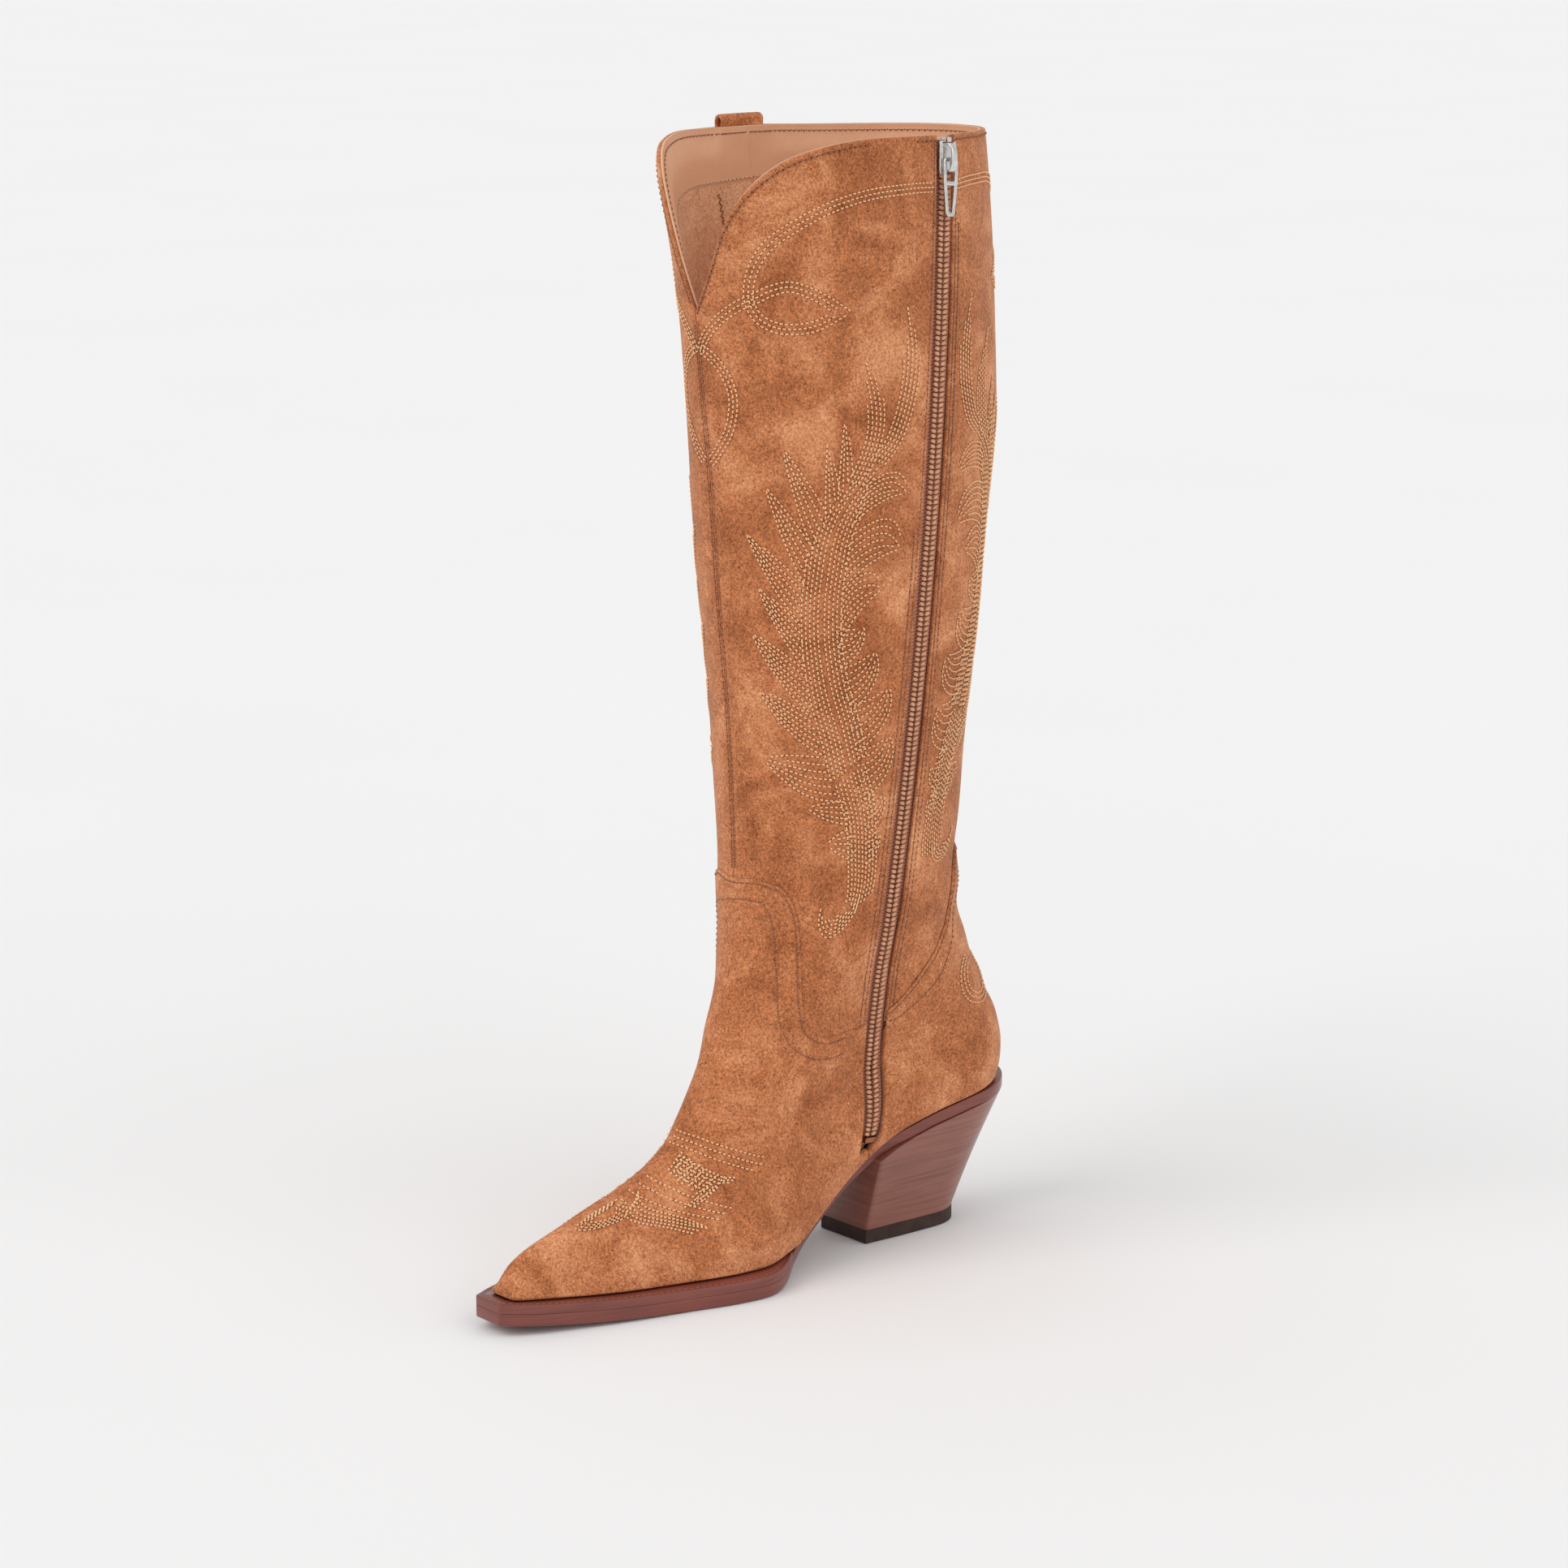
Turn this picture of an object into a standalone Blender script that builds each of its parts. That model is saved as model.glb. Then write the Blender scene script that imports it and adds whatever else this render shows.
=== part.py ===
"""Knee-high western boot for a right foot, with a full-length zip on its inner side.

The model is drawn in boot coordinates, in millimetres: x grows towards the inner (medial) side,
y runs from the tip of the toe back to the heel, and z is the height above the ground. MM and
to_row() turn these into the row frame as each mesh is made: metres, toe towards -Y, inner side
towards +X, with the origin under the middle of the boot.

The upper is one master surface, surface(phi, s). phi goes round the boot: 0 is the front centre
line, pi the back centre line, positive on the inner side. s goes up it: 0 is the feather line,
where the upper meets the sole, and 1 is a level plane just above the rim. Every leather, lining
and stiffener is a patch of that surface with its own depth below it.
"""
import math

import bmesh
import bpy
import numpy as np

# ---------------------------------------------------------------- driving dimensions (mm)
MM = 0.001
X_MID = -0.132          # boot x of the row frame's origin
Y_MID = 130.5           # boot y of the row frame's origin
TOP_PLANE = 460.0       # height of the plane s = 1
OUTSOLE = 5.2           # outsole alone, also through the waist and the heel seat
LIFT = 0.4              # air between touching layers of the bottom
TIP_HEIGHT = 5.6        # rubber top piece under the heel
LEATHER = 1.6           # upper leather
FOXING = 0.9            # how far vamp and heel foxing stand proud of the shaft leather
SEAM_PHI = 0.005        # half the gap at an upright seam, in phi
SEAM_S = 0.0010         # half the gap between a panel and the one above it, in s
LAP = 0.3               # air between a layer of the bottom and the parts that lie on it
ZIP_HALF_SLOT = 4.4     # from the middle of the zip to the edge of the leather
ZIP_HALF_TAPE = 11.6
COIL_WIDTH = 2.35       # one half of the chain
COIL_GAP = 0.42         # from the middle of the zip to the chain
TAPE_GAP = 0.9          # and to the tape
SLIDER_HEIGHT = 443.5   # height of the slider's middle when the boot is closed
SLIDER_LENGTH = 11.0
PULLER_LENGTH = 22.0
PULLER_PIVOT = (-0.6, 2.4)      # along and out from the slider's middle

# depths below the master surface, (inner, outer)
SHAFT_LAYER = (-LEATHER, 0.0)
FOXING_LAYER = (-LEATHER, FOXING)
STIFFENER_LAYER = (-3.0, -2.25)
TAPE_LAYER = (-2.9, -2.3)
LINING_LAYER = (-4.6, -3.7)
GUARD_LAYER = (-6.4, -5.6)


# ---------------------------------------------------------------- smooth curves
def smooth(points):
    """Smooth function through (x, value) points, with no overshoot between them."""
    xs, ys = (np.array(column, float) for column in zip(*points))
    step = np.diff(xs)
    slope = np.diff(ys) / step
    tangent = np.empty_like(ys)
    tangent[1:-1] = (slope[:-1] * step[1:] + slope[1:] * step[:-1]) / (step[:-1] + step[1:])
    tangent[1:-1][slope[:-1] * slope[1:] <= 0] = 0
    tangent[0], tangent[-1] = slope[0], slope[-1]

    def at(x):
        x = np.clip(x, xs[0], xs[-1])
        i = np.clip(np.searchsorted(xs, x, side="right") - 1, 0, len(xs) - 2)
        h = step[i]
        t = (x - xs[i]) / h
        return (ys[i] * (1 + 2 * t) * (1 - t) ** 2 + h * tangent[i] * t * (1 - t) ** 2
                + ys[i + 1] * t * t * (3 - 2 * t) + h * tangent[i + 1] * t * t * (t - 1))
    return at


def smoothstep(low, high, x):
    t = np.clip((x - low) / (high - low), 0, 1)
    return t * t * (3 - 2 * t)


def mix(a, b, t):
    return a * (1 - t) + b * t


# ---------------------------------------------------------------- profiles of the boot
# underside of the sole: toe spring, flat at the ball, then the waist and the raised heel seat
SOLE_BOTTOM = smooth([(0, 4.3), (20, 2.6), (45, 1.0), (70, 0.2), (85, 0), (108, 0), (122, 1.2),
                      (136, 6.6), (150, 15.6), (163, 25.2), (176, 34.0), (190, 41.6), (206, 47.0),
                      (226, 51.2), (262, 56.0)])
# the welt ends in the waist, where the upper comes down onto the outsole itself
WELT_THICKNESS = smooth([(0, 3.7), (108, 3.7), (125, 3.2), (142, 0.4), (262, 0.4)])


def feather(y):
    """Height at which the upper starts."""
    return SOLE_BOTTOM(y) + OUTSOLE + WELT_THICKNESS(y) + LIFT


FRONT = [(6.8, 13.7), (7.3, 17.6), (10.8, 23.2), (18.0, 27.8), (29.5, 32.0), (43, 36.2), (58.5, 41.0),
         (70, 45.4), (80, 50.6), (90, 58.0), (98.3, 68.5), (104.6, 80.5), (110.4, 93),
         (116.0, 106), (120.8, 120), (123.1, 135), (123.8, 152), (123.4, 175), (121.2, 214),
         (115.5, 280), (109.5, 350), (104, 400), (97, 430), (89, 460)]
BACK = [(256.2, 62), (257.4, 67), (257.6, 76), (255.2, 88), (249, 102), (240.8, 118), (234.7, 134),
        (232.0, 150), (232.6, 170), (236, 214), (243.4, 280), (250.7, 350), (250.3, 400), (244.6, 460)]


def profile_line(profile):
    """Many points (y, z) along the smooth curve through a profile."""
    ys, zs = (np.array(column, float) for column in zip(*profile))
    walked = np.concatenate([[0], np.cumsum(np.hypot(np.diff(ys), np.diff(zs)))])
    t = np.linspace(0, walked[-1], 2000)
    return smooth(list(zip(walked, ys)))(t), smooth(list(zip(walked, zs)))(t)


def along_rings(profile):
    """y of a profile as a function of s."""
    y, z = profile_line(profile)
    s = (z - feather(y)) / (TOP_PLANE - feather(y))
    return lambda level: np.interp(level, s, y)


FRONT_Y = along_rings(FRONT)
BACK_Y = along_rings(BACK)
THROAT_Y, THROAT_Z = 120.8, 120.0


RIDGE_Y, RIDGE_Z = (column[profile_line(FRONT)[1] <= THROAT_Z] for column in profile_line(FRONT))


def ridge(y):
    """Height of the instep ridge; behind the throat it climbs away from the foot."""
    past = np.maximum(y - THROAT_Y, 0)
    return np.interp(y, RIDGE_Y, RIDGE_Z) + 4.0 * past + 0.35 * past ** 2


# half widths of the upper at the feather line, inner and outer side
INNER_FOOT = smooth([(0, 5.6), (12, 9.4), (25, 13.2), (47, 19.4), (76, 25.6), (100, 31.0),
                     (113, 31.6), (128, 28.2), (140, 25.0), (152, 22.8), (166, 21.8), (182, 22.5),
                     (205, 25.5), (230, 27), (262, 27)])
OUTER_FOOT = smooth([(0, 5.6), (12, 9.6), (25, 14.2), (47, 22.0), (76, 30.0), (100, 35.5),
                     (115, 36.5), (132, 35.0), (150, 31.0), (175, 27.5), (205, 26.8), (230, 27.4),
                     (262, 27.4)])
# half width of the shaft by height
SHAFT_HALF = smooth([(0, 31), (60, 31.5), (85, 32), (110, 33.5), (135, 35.8), (160, 37.9),
                     (214, 42), (280, 44.9), (340, 45.9), (400, 45.3), (440, 44.4), (460, 43.9)])
HEEL_ROUND = smooth([(0, 29), (0.06, 31), (0.12, 36), (0.2, 46), (0.34, 53), (1, 74)])
FOOT_BULGE = 2.6        # the upper swells this far over the feather line
# how much leaner than an ellipse the foot is towards its ridge, inner and outer side
INNER_TAPER, OUTER_TAPER = 0.30, 0.62


def round_off(t):
    t = np.clip(t, 0, 1)
    return np.sqrt(1 - (1 - t) ** 2)


def surface(phi, s):
    """Point of the master surface, as an array of (x, y, z)."""
    phi, s = np.broadcast_arrays(np.asarray(phi, float), np.asarray(s, float))
    side = np.where(np.sin(phi) >= 0, 1.0, -1.0)
    front, back = FRONT_Y(s), BACK_Y(s)
    y = front + (back - front) * (1 - np.cos(phi)) / 2
    z = feather(y) + s * (TOP_PLANE - feather(y))
    half = (back - front) / 2
    swell = FOOT_BULGE * np.sin(np.pi * np.clip(s / 0.09, 0, 1)) * smoothstep(20, 70, y)
    foot = np.where(side > 0, INNER_FOOT(y), OUTER_FOOT(y)) + swell
    width = mix(foot, SHAFT_HALF(z), smoothstep(0.02, 0.26, s))
    rise = np.clip((z - feather(y)) / np.maximum(ridge(y) - feather(y), 0.05), 0, 1)
    nose = round_off((y - front) / (3.0 * np.clip(1 - s / 0.004, 0.01, 1)))
    taper = np.where(side > 0, INNER_TAPER, OUTER_TAPER)
    over_foot = np.sqrt(1 - rise ** 2) * (1 - taper * rise * (2 - rise)) * nose
    round_leg = round_off((y - front) / half)
    front_round = mix(over_foot, round_leg, smoothstep(0.12, 0.30, s))
    heel_length = mix(HEEL_ROUND(s), half, smoothstep(0.20, 0.34, s))
    width = width * front_round * round_off((back - y) / heel_length)
    return np.stack([side * width, y, z], -1)


def outward(phi, s):
    """Unit normal of the master surface."""
    d = 1e-3
    across = surface(phi + d, s) - surface(phi - d, s)
    upward = surface(phi, s + d) - surface(phi, np.maximum(s - d, 0))
    normal = np.cross(across, upward)
    return normal / np.linalg.norm(normal, axis=-1, keepdims=True)


def at_depth(phi, s, depth):
    return surface(phi, s) + depth * outward(phi, s)


# ---------------------------------------------------------------- lines on the boot
# height of the rim (in s) from the V dip at the front to the level back, inner and outer side
INNER_RIM = smooth([(0, 0.838), (0.2, 0.874), (0.42, 0.917), (0.65, 0.947), (0.87, 0.966),
                    (1.18, 0.979), (1.5, 0.983), (2.0, 0.981), (math.pi, 0.980)])
OUTER_RIM = smooth([(0, 0.838), (0.2, 0.883), (0.42, 0.938), (0.65, 0.970), (0.87, 0.981),
                    (1.18, 0.984), (1.5, 0.984), (2.0, 0.981), (math.pi, 0.980)])
# top edge of the vamp, along the zip, and up to the top edge of the heel foxing
FOXING_TOP = smooth([(0, 0.336), (0.42, 0.334), (0.62, 0.320), (0.71, 0.297), (0.78, 0.254),
                     (0.91, 0.212), (1.07, 0.187), (1.19, 0.174), (1.38, 0.160), (1.60, 0.145),
                     (1.74, 0.142), (1.87, 0.150), (1.985, 0.165), (2.16, 0.187), (2.27, 0.205),
                     (2.33, 0.235), (2.42, 0.256), (2.7, 0.262), (math.pi, 0.264)])
LINING_JOIN = 0.196     # the foot linings meet the leg linings here
OUTER_SEAM = -1.5       # phi of the side seam on the outer side
FACING_DEPTH = 0.052    # depth of the leather facing inside the rim, in s


def rim(phi):
    return np.where(np.asarray(phi) >= 0, INNER_RIM(np.abs(phi)), OUTER_RIM(np.abs(phi)))


def foxing_top(phi):
    return FOXING_TOP(np.abs(phi))


def facing_edge(phi):
    return rim(phi) - FACING_DEPTH


# ---------------------------------------------------------------- the zip's line
# Where the slider runs, the chain lies on one true arc through three points of the inner side.
ARC_TOP, ARC_MIDDLE, ARC_LOW = (196.7, 447.0), (186.65, 292.0), (175.4, 138.0)
ANKLE_LINE = smooth([(44, 175.4), (63, 176.6), (84, 176.4), (108, 175.6), (124, 175.0),
                     (138, 175.4)])
BLEND_LOW = 112.0       # between here and the arc's end the chain's frame turns into the arc's
ZIP_FOOT = 47.0         # height of the zip's lower end
ZIP_HEAD = 449.2        # height of the chain's upper end


def inner_place(y, z):
    """(phi, s) of the place on the inner side with this y and z."""
    s = (z - feather(y)) / (TOP_PLANE - feather(y))
    front, back = FRONT_Y(s), BACK_Y(s)
    return np.arccos(1 - 2 * (y - front) / (back - front)), s


def on_inner_side(y, z):
    """Point of the master surface's inner side with this y and z."""
    return surface(*inner_place(y, z))


def arc_through(a, b, c):
    """Centre, radius and unit axis of the circle through three points."""
    ab, ac = b - a, c - a
    axis = np.cross(ab, ac)
    to_centre = (np.cross(axis, ab) * (ac @ ac) + np.cross(ac, axis) * (ab @ ab)) / (2 * axis @ axis)
    return a + to_centre, np.linalg.norm(to_centre), axis / np.linalg.norm(axis)


ARC_CENTRE, ARC_RADIUS, ARC_AXIS = arc_through(on_inner_side(*ARC_TOP),
                                               on_inner_side(*ARC_MIDDLE),
                                               on_inner_side(*ARC_LOW))
ARC_OUT = np.cross(ARC_AXIS, [0, 0, 1.0])
ARC_OUT /= np.linalg.norm(ARC_OUT)
ARC_UP = np.cross(ARC_OUT, ARC_AXIS)


def arc_point(z):
    """Point of the arc at a height (or points, for an array of heights)."""
    angle = np.arcsin((z - ARC_CENTRE[2]) / (ARC_RADIUS * ARC_UP[2]))
    return ARC_CENTRE + ARC_RADIUS * (np.multiply.outer(np.cos(angle), ARC_OUT)
                                      + np.multiply.outer(np.sin(angle), ARC_UP))


def zip_y(z):
    """y of the zip's middle line at a height."""
    on_arc = arc_point(np.maximum(z, ARC_LOW[1]))[..., 1]
    return np.where(z >= ARC_LOW[1], on_arc, ANKLE_LINE(z))


def zip_frame(z):
    """Middle of the chain at a height, with unit vectors across it (rearwards) and outward."""
    if z >= ARC_LOW[1]:
        middle = arc_point(z)
        out = middle - ARC_CENTRE
        out /= np.linalg.norm(out)
        return middle, ARC_AXIS, out
    place = inner_place(ANKLE_LINE(z), z)
    middle = surface(*place)
    _, arc_across, arc_out = zip_frame(ARC_LOW[1])
    blend = smoothstep(BLEND_LOW, ARC_LOW[1], z)
    out = mix(outward(*place), arc_out, blend)
    out /= np.linalg.norm(out)
    upward = on_inner_side(ANKLE_LINE(z + 2), z + 2) - middle
    across = mix(np.cross(upward, out) / np.linalg.norm(upward), arc_across, blend)
    return middle, across / np.linalg.norm(across), out


def zip_edge(shift):
    """phi of a line beside the zip, as a function of s; shift is rearwards."""
    levels = np.linspace(0, 1, 160)
    angles = np.linspace(0.9, 2.6, 500)
    found = []
    for s in levels:
        points = surface(angles, np.full_like(angles, s))
        found.append(np.interp(0.0, points[:, 1] - zip_y(points[:, 2]) - shift, angles))
    return lambda s: np.interp(s, levels, found)


# ---------------------------------------------------------------- making objects
def clear_scene():
    for old in list(bpy.data.objects):
        bpy.data.objects.remove(old)


def material(name, colour, roughness, metallic=0.0):
    """Principled material; colour is linear RGB."""
    made = bpy.data.materials.get(name)
    if made is None:
        made = bpy.data.materials.new(name)
        made.use_nodes = True
        shader = made.node_tree.nodes["Principled BSDF"]
        shader.inputs["Base Color"].default_value = (*colour, 1.0)
        shader.inputs["Roughness"].default_value = roughness
        shader.inputs["Metallic"].default_value = metallic
        made.diffuse_color = (*colour, 1.0)
    return made


def suede():
    return material("suede", (0.36, 0.17, 0.075), 0.9)


def lining():
    return material("lining", (0.42, 0.24, 0.13), 0.75)


def facing():
    return material("collar_facing", (0.50, 0.28, 0.15), 0.6)


def stacked_leather():
    return material("stacked_leather", (0.16, 0.05, 0.027), 0.45)


def rubber():
    return material("heel_rubber", (0.05, 0.022, 0.016), 0.7)


def board():
    return material("fibre_board", (0.45, 0.33, 0.22), 0.85)


def steel():
    return material("steel", (0.60, 0.60, 0.60), 0.35, 1.0)


def nickel():
    return material("nickel", (0.72, 0.71, 0.69), 0.22, 1.0)


def tape_cloth():
    return material("zip_tape", (0.20, 0.085, 0.045), 0.9)


def coil_plastic():
    return material("zip_coil", (0.30, 0.145, 0.075), 0.5)


def to_row(points):
    """Boot coordinates in millimetres to the row frame in metres."""
    return (np.asarray(points, float) - [X_MID, Y_MID, 0.0]) * MM


def add_object(name, points, faces, finish, sharp_degrees=35):
    """One closed solid from points in boot coordinates; its faces are turned outward."""
    mesh = bpy.data.meshes.new(name)
    mesh.from_pydata(to_row(points).tolist(), [], faces)
    work = bmesh.new()
    work.from_mesh(mesh)
    bmesh.ops.recalc_face_normals(work, faces=work.faces)
    work.to_mesh(mesh)
    work.free()
    mesh.materials.append(finish)
    mesh.shade_smooth()
    mesh.set_sharp_from_angle(angle=math.radians(sharp_degrees))
    made = bpy.data.objects.new(name, mesh)
    bpy.context.scene.collection.objects.link(made)
    return made


def grid_faces(rows, columns, first=0, closed=False):
    """Quads of a grid stored row by row; closed joins the last column to the first."""
    faces = []
    for r in range(rows - 1):
        for c in range(columns if closed else columns - 1):
            a = first + r * columns + c
            b = first + r * columns + (c + 1) % columns
            faces.append((a, b, b + columns, a + columns))
    return faces


def add_shell(name, outer, inner, finish):
    """Solid between two grids of points with the same rows and columns."""
    rows, columns = outer.shape[:2]
    count = rows * columns
    faces = grid_faces(rows, columns) + grid_faces(rows, columns, count)
    border = ([c for c in range(columns)]
              + [r * columns + columns - 1 for r in range(1, rows)]
              + [(rows - 1) * columns + c for c in range(columns - 2, -1, -1)]
              + [r * columns for r in range(rows - 2, 0, -1)])
    for a, b in zip(border, border[1:] + border[:1]):
        faces.append((a, b, b + count, a + count))
    points = np.concatenate([outer.reshape(-1, 3), inner.reshape(-1, 3)])
    return add_object(name, points, faces, finish)


def add_patch(name, layer, sides, ends, cells, finish, grade=1.0):
    """Panel of the upper. sides: phi of both sides as functions of s; ends: s of both ends as
    functions of phi; cells: how many faces across and up; grade over 1 crowds them low down."""
    u = np.linspace(0, 1, cells[0] + 1)[None, :]
    v = np.linspace(0, 1, cells[1] + 1)[:, None] ** grade
    s = np.full((cells[1] + 1, cells[0] + 1), 0.5)
    for _ in range(12):
        phi = mix(sides[0](s), sides[1](s), u)
        s = mix(ends[0](phi), ends[1](phi), v)
    return add_shell(name, at_depth(phi, s, layer[1]), at_depth(phi, s, layer[0]), finish)


def level(value):
    return lambda other: np.full_like(np.asarray(other, float), value)


def shifted(line, by):
    return lambda other: line(other) + by


def cleared(line, by, sideways=0.014):
    """A line across the boot moved up (or down, by < 0), and sideways where it is steep."""
    choose = np.maximum if by > 0 else np.minimum
    return lambda phi: choose(line(phi - sideways), line(phi + sideways)) + by


def add_deck(name, stations, halves, heights, finish):
    """Flat layer of the bottom: halves are half widths (inner, outer) by y, heights (low, high)."""
    points = []
    for y in stations:
        for z in heights:
            points.append((halves[0](y), y, z(y)))
            points.append((-halves[1](y), y, z(y)))
    faces = []
    for i in range(len(stations) - 1):
        a, b = 4 * i, 4 * i + 4
        for p, q in ((0, 1), (1, 3), (3, 2), (2, 0)):
            faces.append((a + p, a + q, b + q, b + p))
    last = 4 * (len(stations) - 1)
    faces.append((0, 1, 3, 2))
    faces.append((last, last + 1, last + 3, last + 2))
    return add_object(name, points, faces, finish)


def add_prism(name, outline, frame, depth, finish):
    """Prism on a frame of (origin, x axis, y axis, z axis): outline in x and y, depth in z."""
    origin, x_axis, y_axis, z_axis = (np.asarray(v, float) for v in frame)
    points = [origin + x * x_axis + y * y_axis + z * z_axis for z in depth for x, y in outline]
    count = len(outline)
    faces = [tuple(range(count)), tuple(range(count, 2 * count))]
    faces += [(i, (i + 1) % count, count + (i + 1) % count, count + i) for i in range(count)]
    return add_object(name, points, faces, finish)


def add_pin(name, x, y, low, high, radius, finish, sides=10):
    outline = [(radius * math.cos(2 * math.pi * i / sides), radius * math.sin(2 * math.pi * i / sides))
               for i in range(sides)]
    frame = ((x, y, 0), (1, 0, 0), (0, 1, 0), (0, 0, 1))
    return add_prism(name, outline, frame, (low, high), finish)


def drill(targets, x, y, low, high, radius):
    """Cut a round hole along Z through each target."""
    cutter = add_pin(f"cut_{len(bpy.data.objects)}", x, y, low, high, radius, steel(), sides=12)
    cutter.hide_render = True
    cutter.display_type = 'WIRE'
    for target in targets:
        hole = target.modifiers.new("hole", 'BOOLEAN')
        hole.object = cutter
        hole.operation = 'DIFFERENCE'
        hole.solver = 'EXACT'


# ---------------------------------------------------------------- bottom of the boot
# half widths of the sole's edge: 15 mm wide snip toe, ball, narrow waist, heel seat
INNER_SOLE = smooth([(0, 7.8), (11, 13.8), (25, 18.8), (47, 25.6), (76, 32.6), (98, 38.0),
                     (108, 39.0), (116, 37.4), (124, 33.2), (132, 27.0), (140, 22.6), (152, 19.8),
                     (166, 19.0), (182, 20.4), (196, 24.0), (214, 26.2), (262, 26.8)])
OUTER_SOLE = smooth([(0, 7.8), (11, 14.2), (25, 20.4), (47, 29.0), (76, 37.6), (98, 43.6),
                     (112, 44.6), (122, 42.0), (132, 36.4), (142, 31.2), (156, 27.2), (176, 24.4),
                     (190, 25.0), (214, 26.4), (262, 26.8)])
SEAT_BACK = 261.0
SEAT_ROUND = 28.0       # length over which the seat rounds off to the back


def rounded_back(half, back):
    """Half width that rounds off towards y = back."""
    return lambda y: half(y) * max(float(round_off((back - y) / SEAT_ROUND)), 0.16)


def sole_stations(front, back, count=34):
    """Stations from front to back, closer together near the rounded back."""
    run = np.linspace(front, back - SEAT_ROUND, count)[:-1]
    turn = back - SEAT_ROUND + SEAT_ROUND * np.sin(np.linspace(0, math.pi / 2, 9))
    return [float(y) for y in np.concatenate([run, turn])]


def inset(half, by):
    return lambda y: half(y) - by


def inside_lining(half, at_toe, behind):
    """Half width of a layer inside the linings, leaner at the low toe."""
    return lambda y: half(y) - mix(at_toe, behind, smoothstep(20, 80, y))


def above(profile, by):
    return lambda y: float(profile(y)) + by


def outsole_top(y):
    """Top of the outsole; the welt lies on it at the forepart."""
    return float(SOLE_BOTTOM(y)) + OUTSOLE


def make_bottom():
    halves = (rounded_back(INNER_SOLE, SEAT_BACK), rounded_back(OUTER_SOLE, SEAT_BACK))
    outsole = add_deck("outsole", sole_stations(0.0, SEAT_BACK), halves,
                       (above(SOLE_BOTTOM, 0.0), outsole_top), stacked_leather())
    make_welt()
    inner_back = 251.5
    halves = (rounded_back(inside_lining(INNER_FOOT, 8.4, 5.6), inner_back),
              rounded_back(inside_lining(OUTER_FOOT, 12.6, 9.4), inner_back))
    insole = add_deck("insole_board", sole_stations(20.0, inner_back), halves,
                      (above(feather, 1.9), above(feather, 3.9)), board())
    add_deck("sock_lining", sole_stations(36.0, inner_back - 2),
             tuple(lambda y, h=h: h(y) - 1.5 for h in halves),
             (sock_height(4.2), sock_height(5.0)), facing())
    cushion_back = 246.0
    cushion_half = rounded_back(level_half(17.5), cushion_back)
    add_deck("heel_cushion", sole_stations(206.0, cushion_back, 5), (cushion_half, cushion_half),
             (above(feather, 4.2), above(feather, 6.6)), board())
    filler_front, filler_back = 15.5, 112.0
    add_deck("forepart_filler", [float(y) for y in np.linspace(filler_front, filler_back, 12)],
             (inset(INNER_FOOT, 5.2), inset(OUTER_FOOT, 5.2)),
             (above(outsole_top, LAP), above(feather, 1.6)), board())
    add_deck("shank", [float(y) for y in np.linspace(116.0, 211.0, 14)],
             (level_half(6.0), level_half(6.0)),
             (above(feather, 0.2), above(feather, 1.5)), steel())
    return outsole, insole


def sock_height(by):
    """The sock steps up over the heel cushion."""
    return lambda y: float(feather(y)) + by + 2.7 * float(smoothstep(192, 204, y))


def level_half(value):
    return lambda y: value


def make_welt():
    """Horseshoe strip from the inner waist round the toe to the outer waist."""
    end = 131.0
    run = [float(y) for y in np.linspace(end, 6.0, 15)] + [0.0]
    path = [(y, 1.0, INNER_SOLE, INNER_FOOT) for y in run]
    path += [(y, -1.0, OUTER_SOLE, OUTER_FOOT) for y in reversed(run)]
    edge, lip = [], []
    for y, side, sole, foot in path:
        edge.append((side * float(sole(y)), y))
        lip_y = max(y, 7.0)
        lip.append((side * (float(foot(lip_y)) - 3.6), lip_y))
    outer_grid = np.array([[(x, y, outsole_top(y) + LAP) for x, y in edge],
                           [(x, y, outsole_top(y) + float(WELT_THICKNESS(y))) for x, y in edge]])
    inner_grid = np.array([[(x, y, outsole_top(y) + LAP) for x, y in lip],
                           [(x, y, outsole_top(y) + float(WELT_THICKNESS(y))) for x, y in lip]])
    add_shell("welt", outer_grid, inner_grid, stacked_leather())


# ---------------------------------------------------------------- heel
HEEL_BREAST = 182.0     # y of the heel's flat front
HEEL_GROUND_BACK = 236.5
HEEL_SEAT_BACK = 260.0
HEEL_GROUND_HALF = 15.2
HEEL_SEAT_HALF = 27.2


def heel_outline(t):
    """D-shaped outline at a fraction t of the way from the ground to the seat."""
    back = mix(HEEL_GROUND_BACK, HEEL_SEAT_BACK, t)
    half = mix(HEEL_GROUND_HALF, HEEL_SEAT_HALF, t)
    breast = HEEL_BREAST
    middle = back - half * 1.15
    outline = []
    for angle in np.linspace(0, math.pi / 2, 9):
        outline.append((half * math.cos(angle) ** 0.8, middle + (back - middle) * math.sin(angle)))
    right = [(half * mix(0.93, 0.86, t), breast), (half * mix(0.99, 0.96, t), mix(breast, middle, 0.5))]
    right += outline
    left = [(-x, y) for x, y in reversed(right[:-1])]
    return right + left


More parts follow.
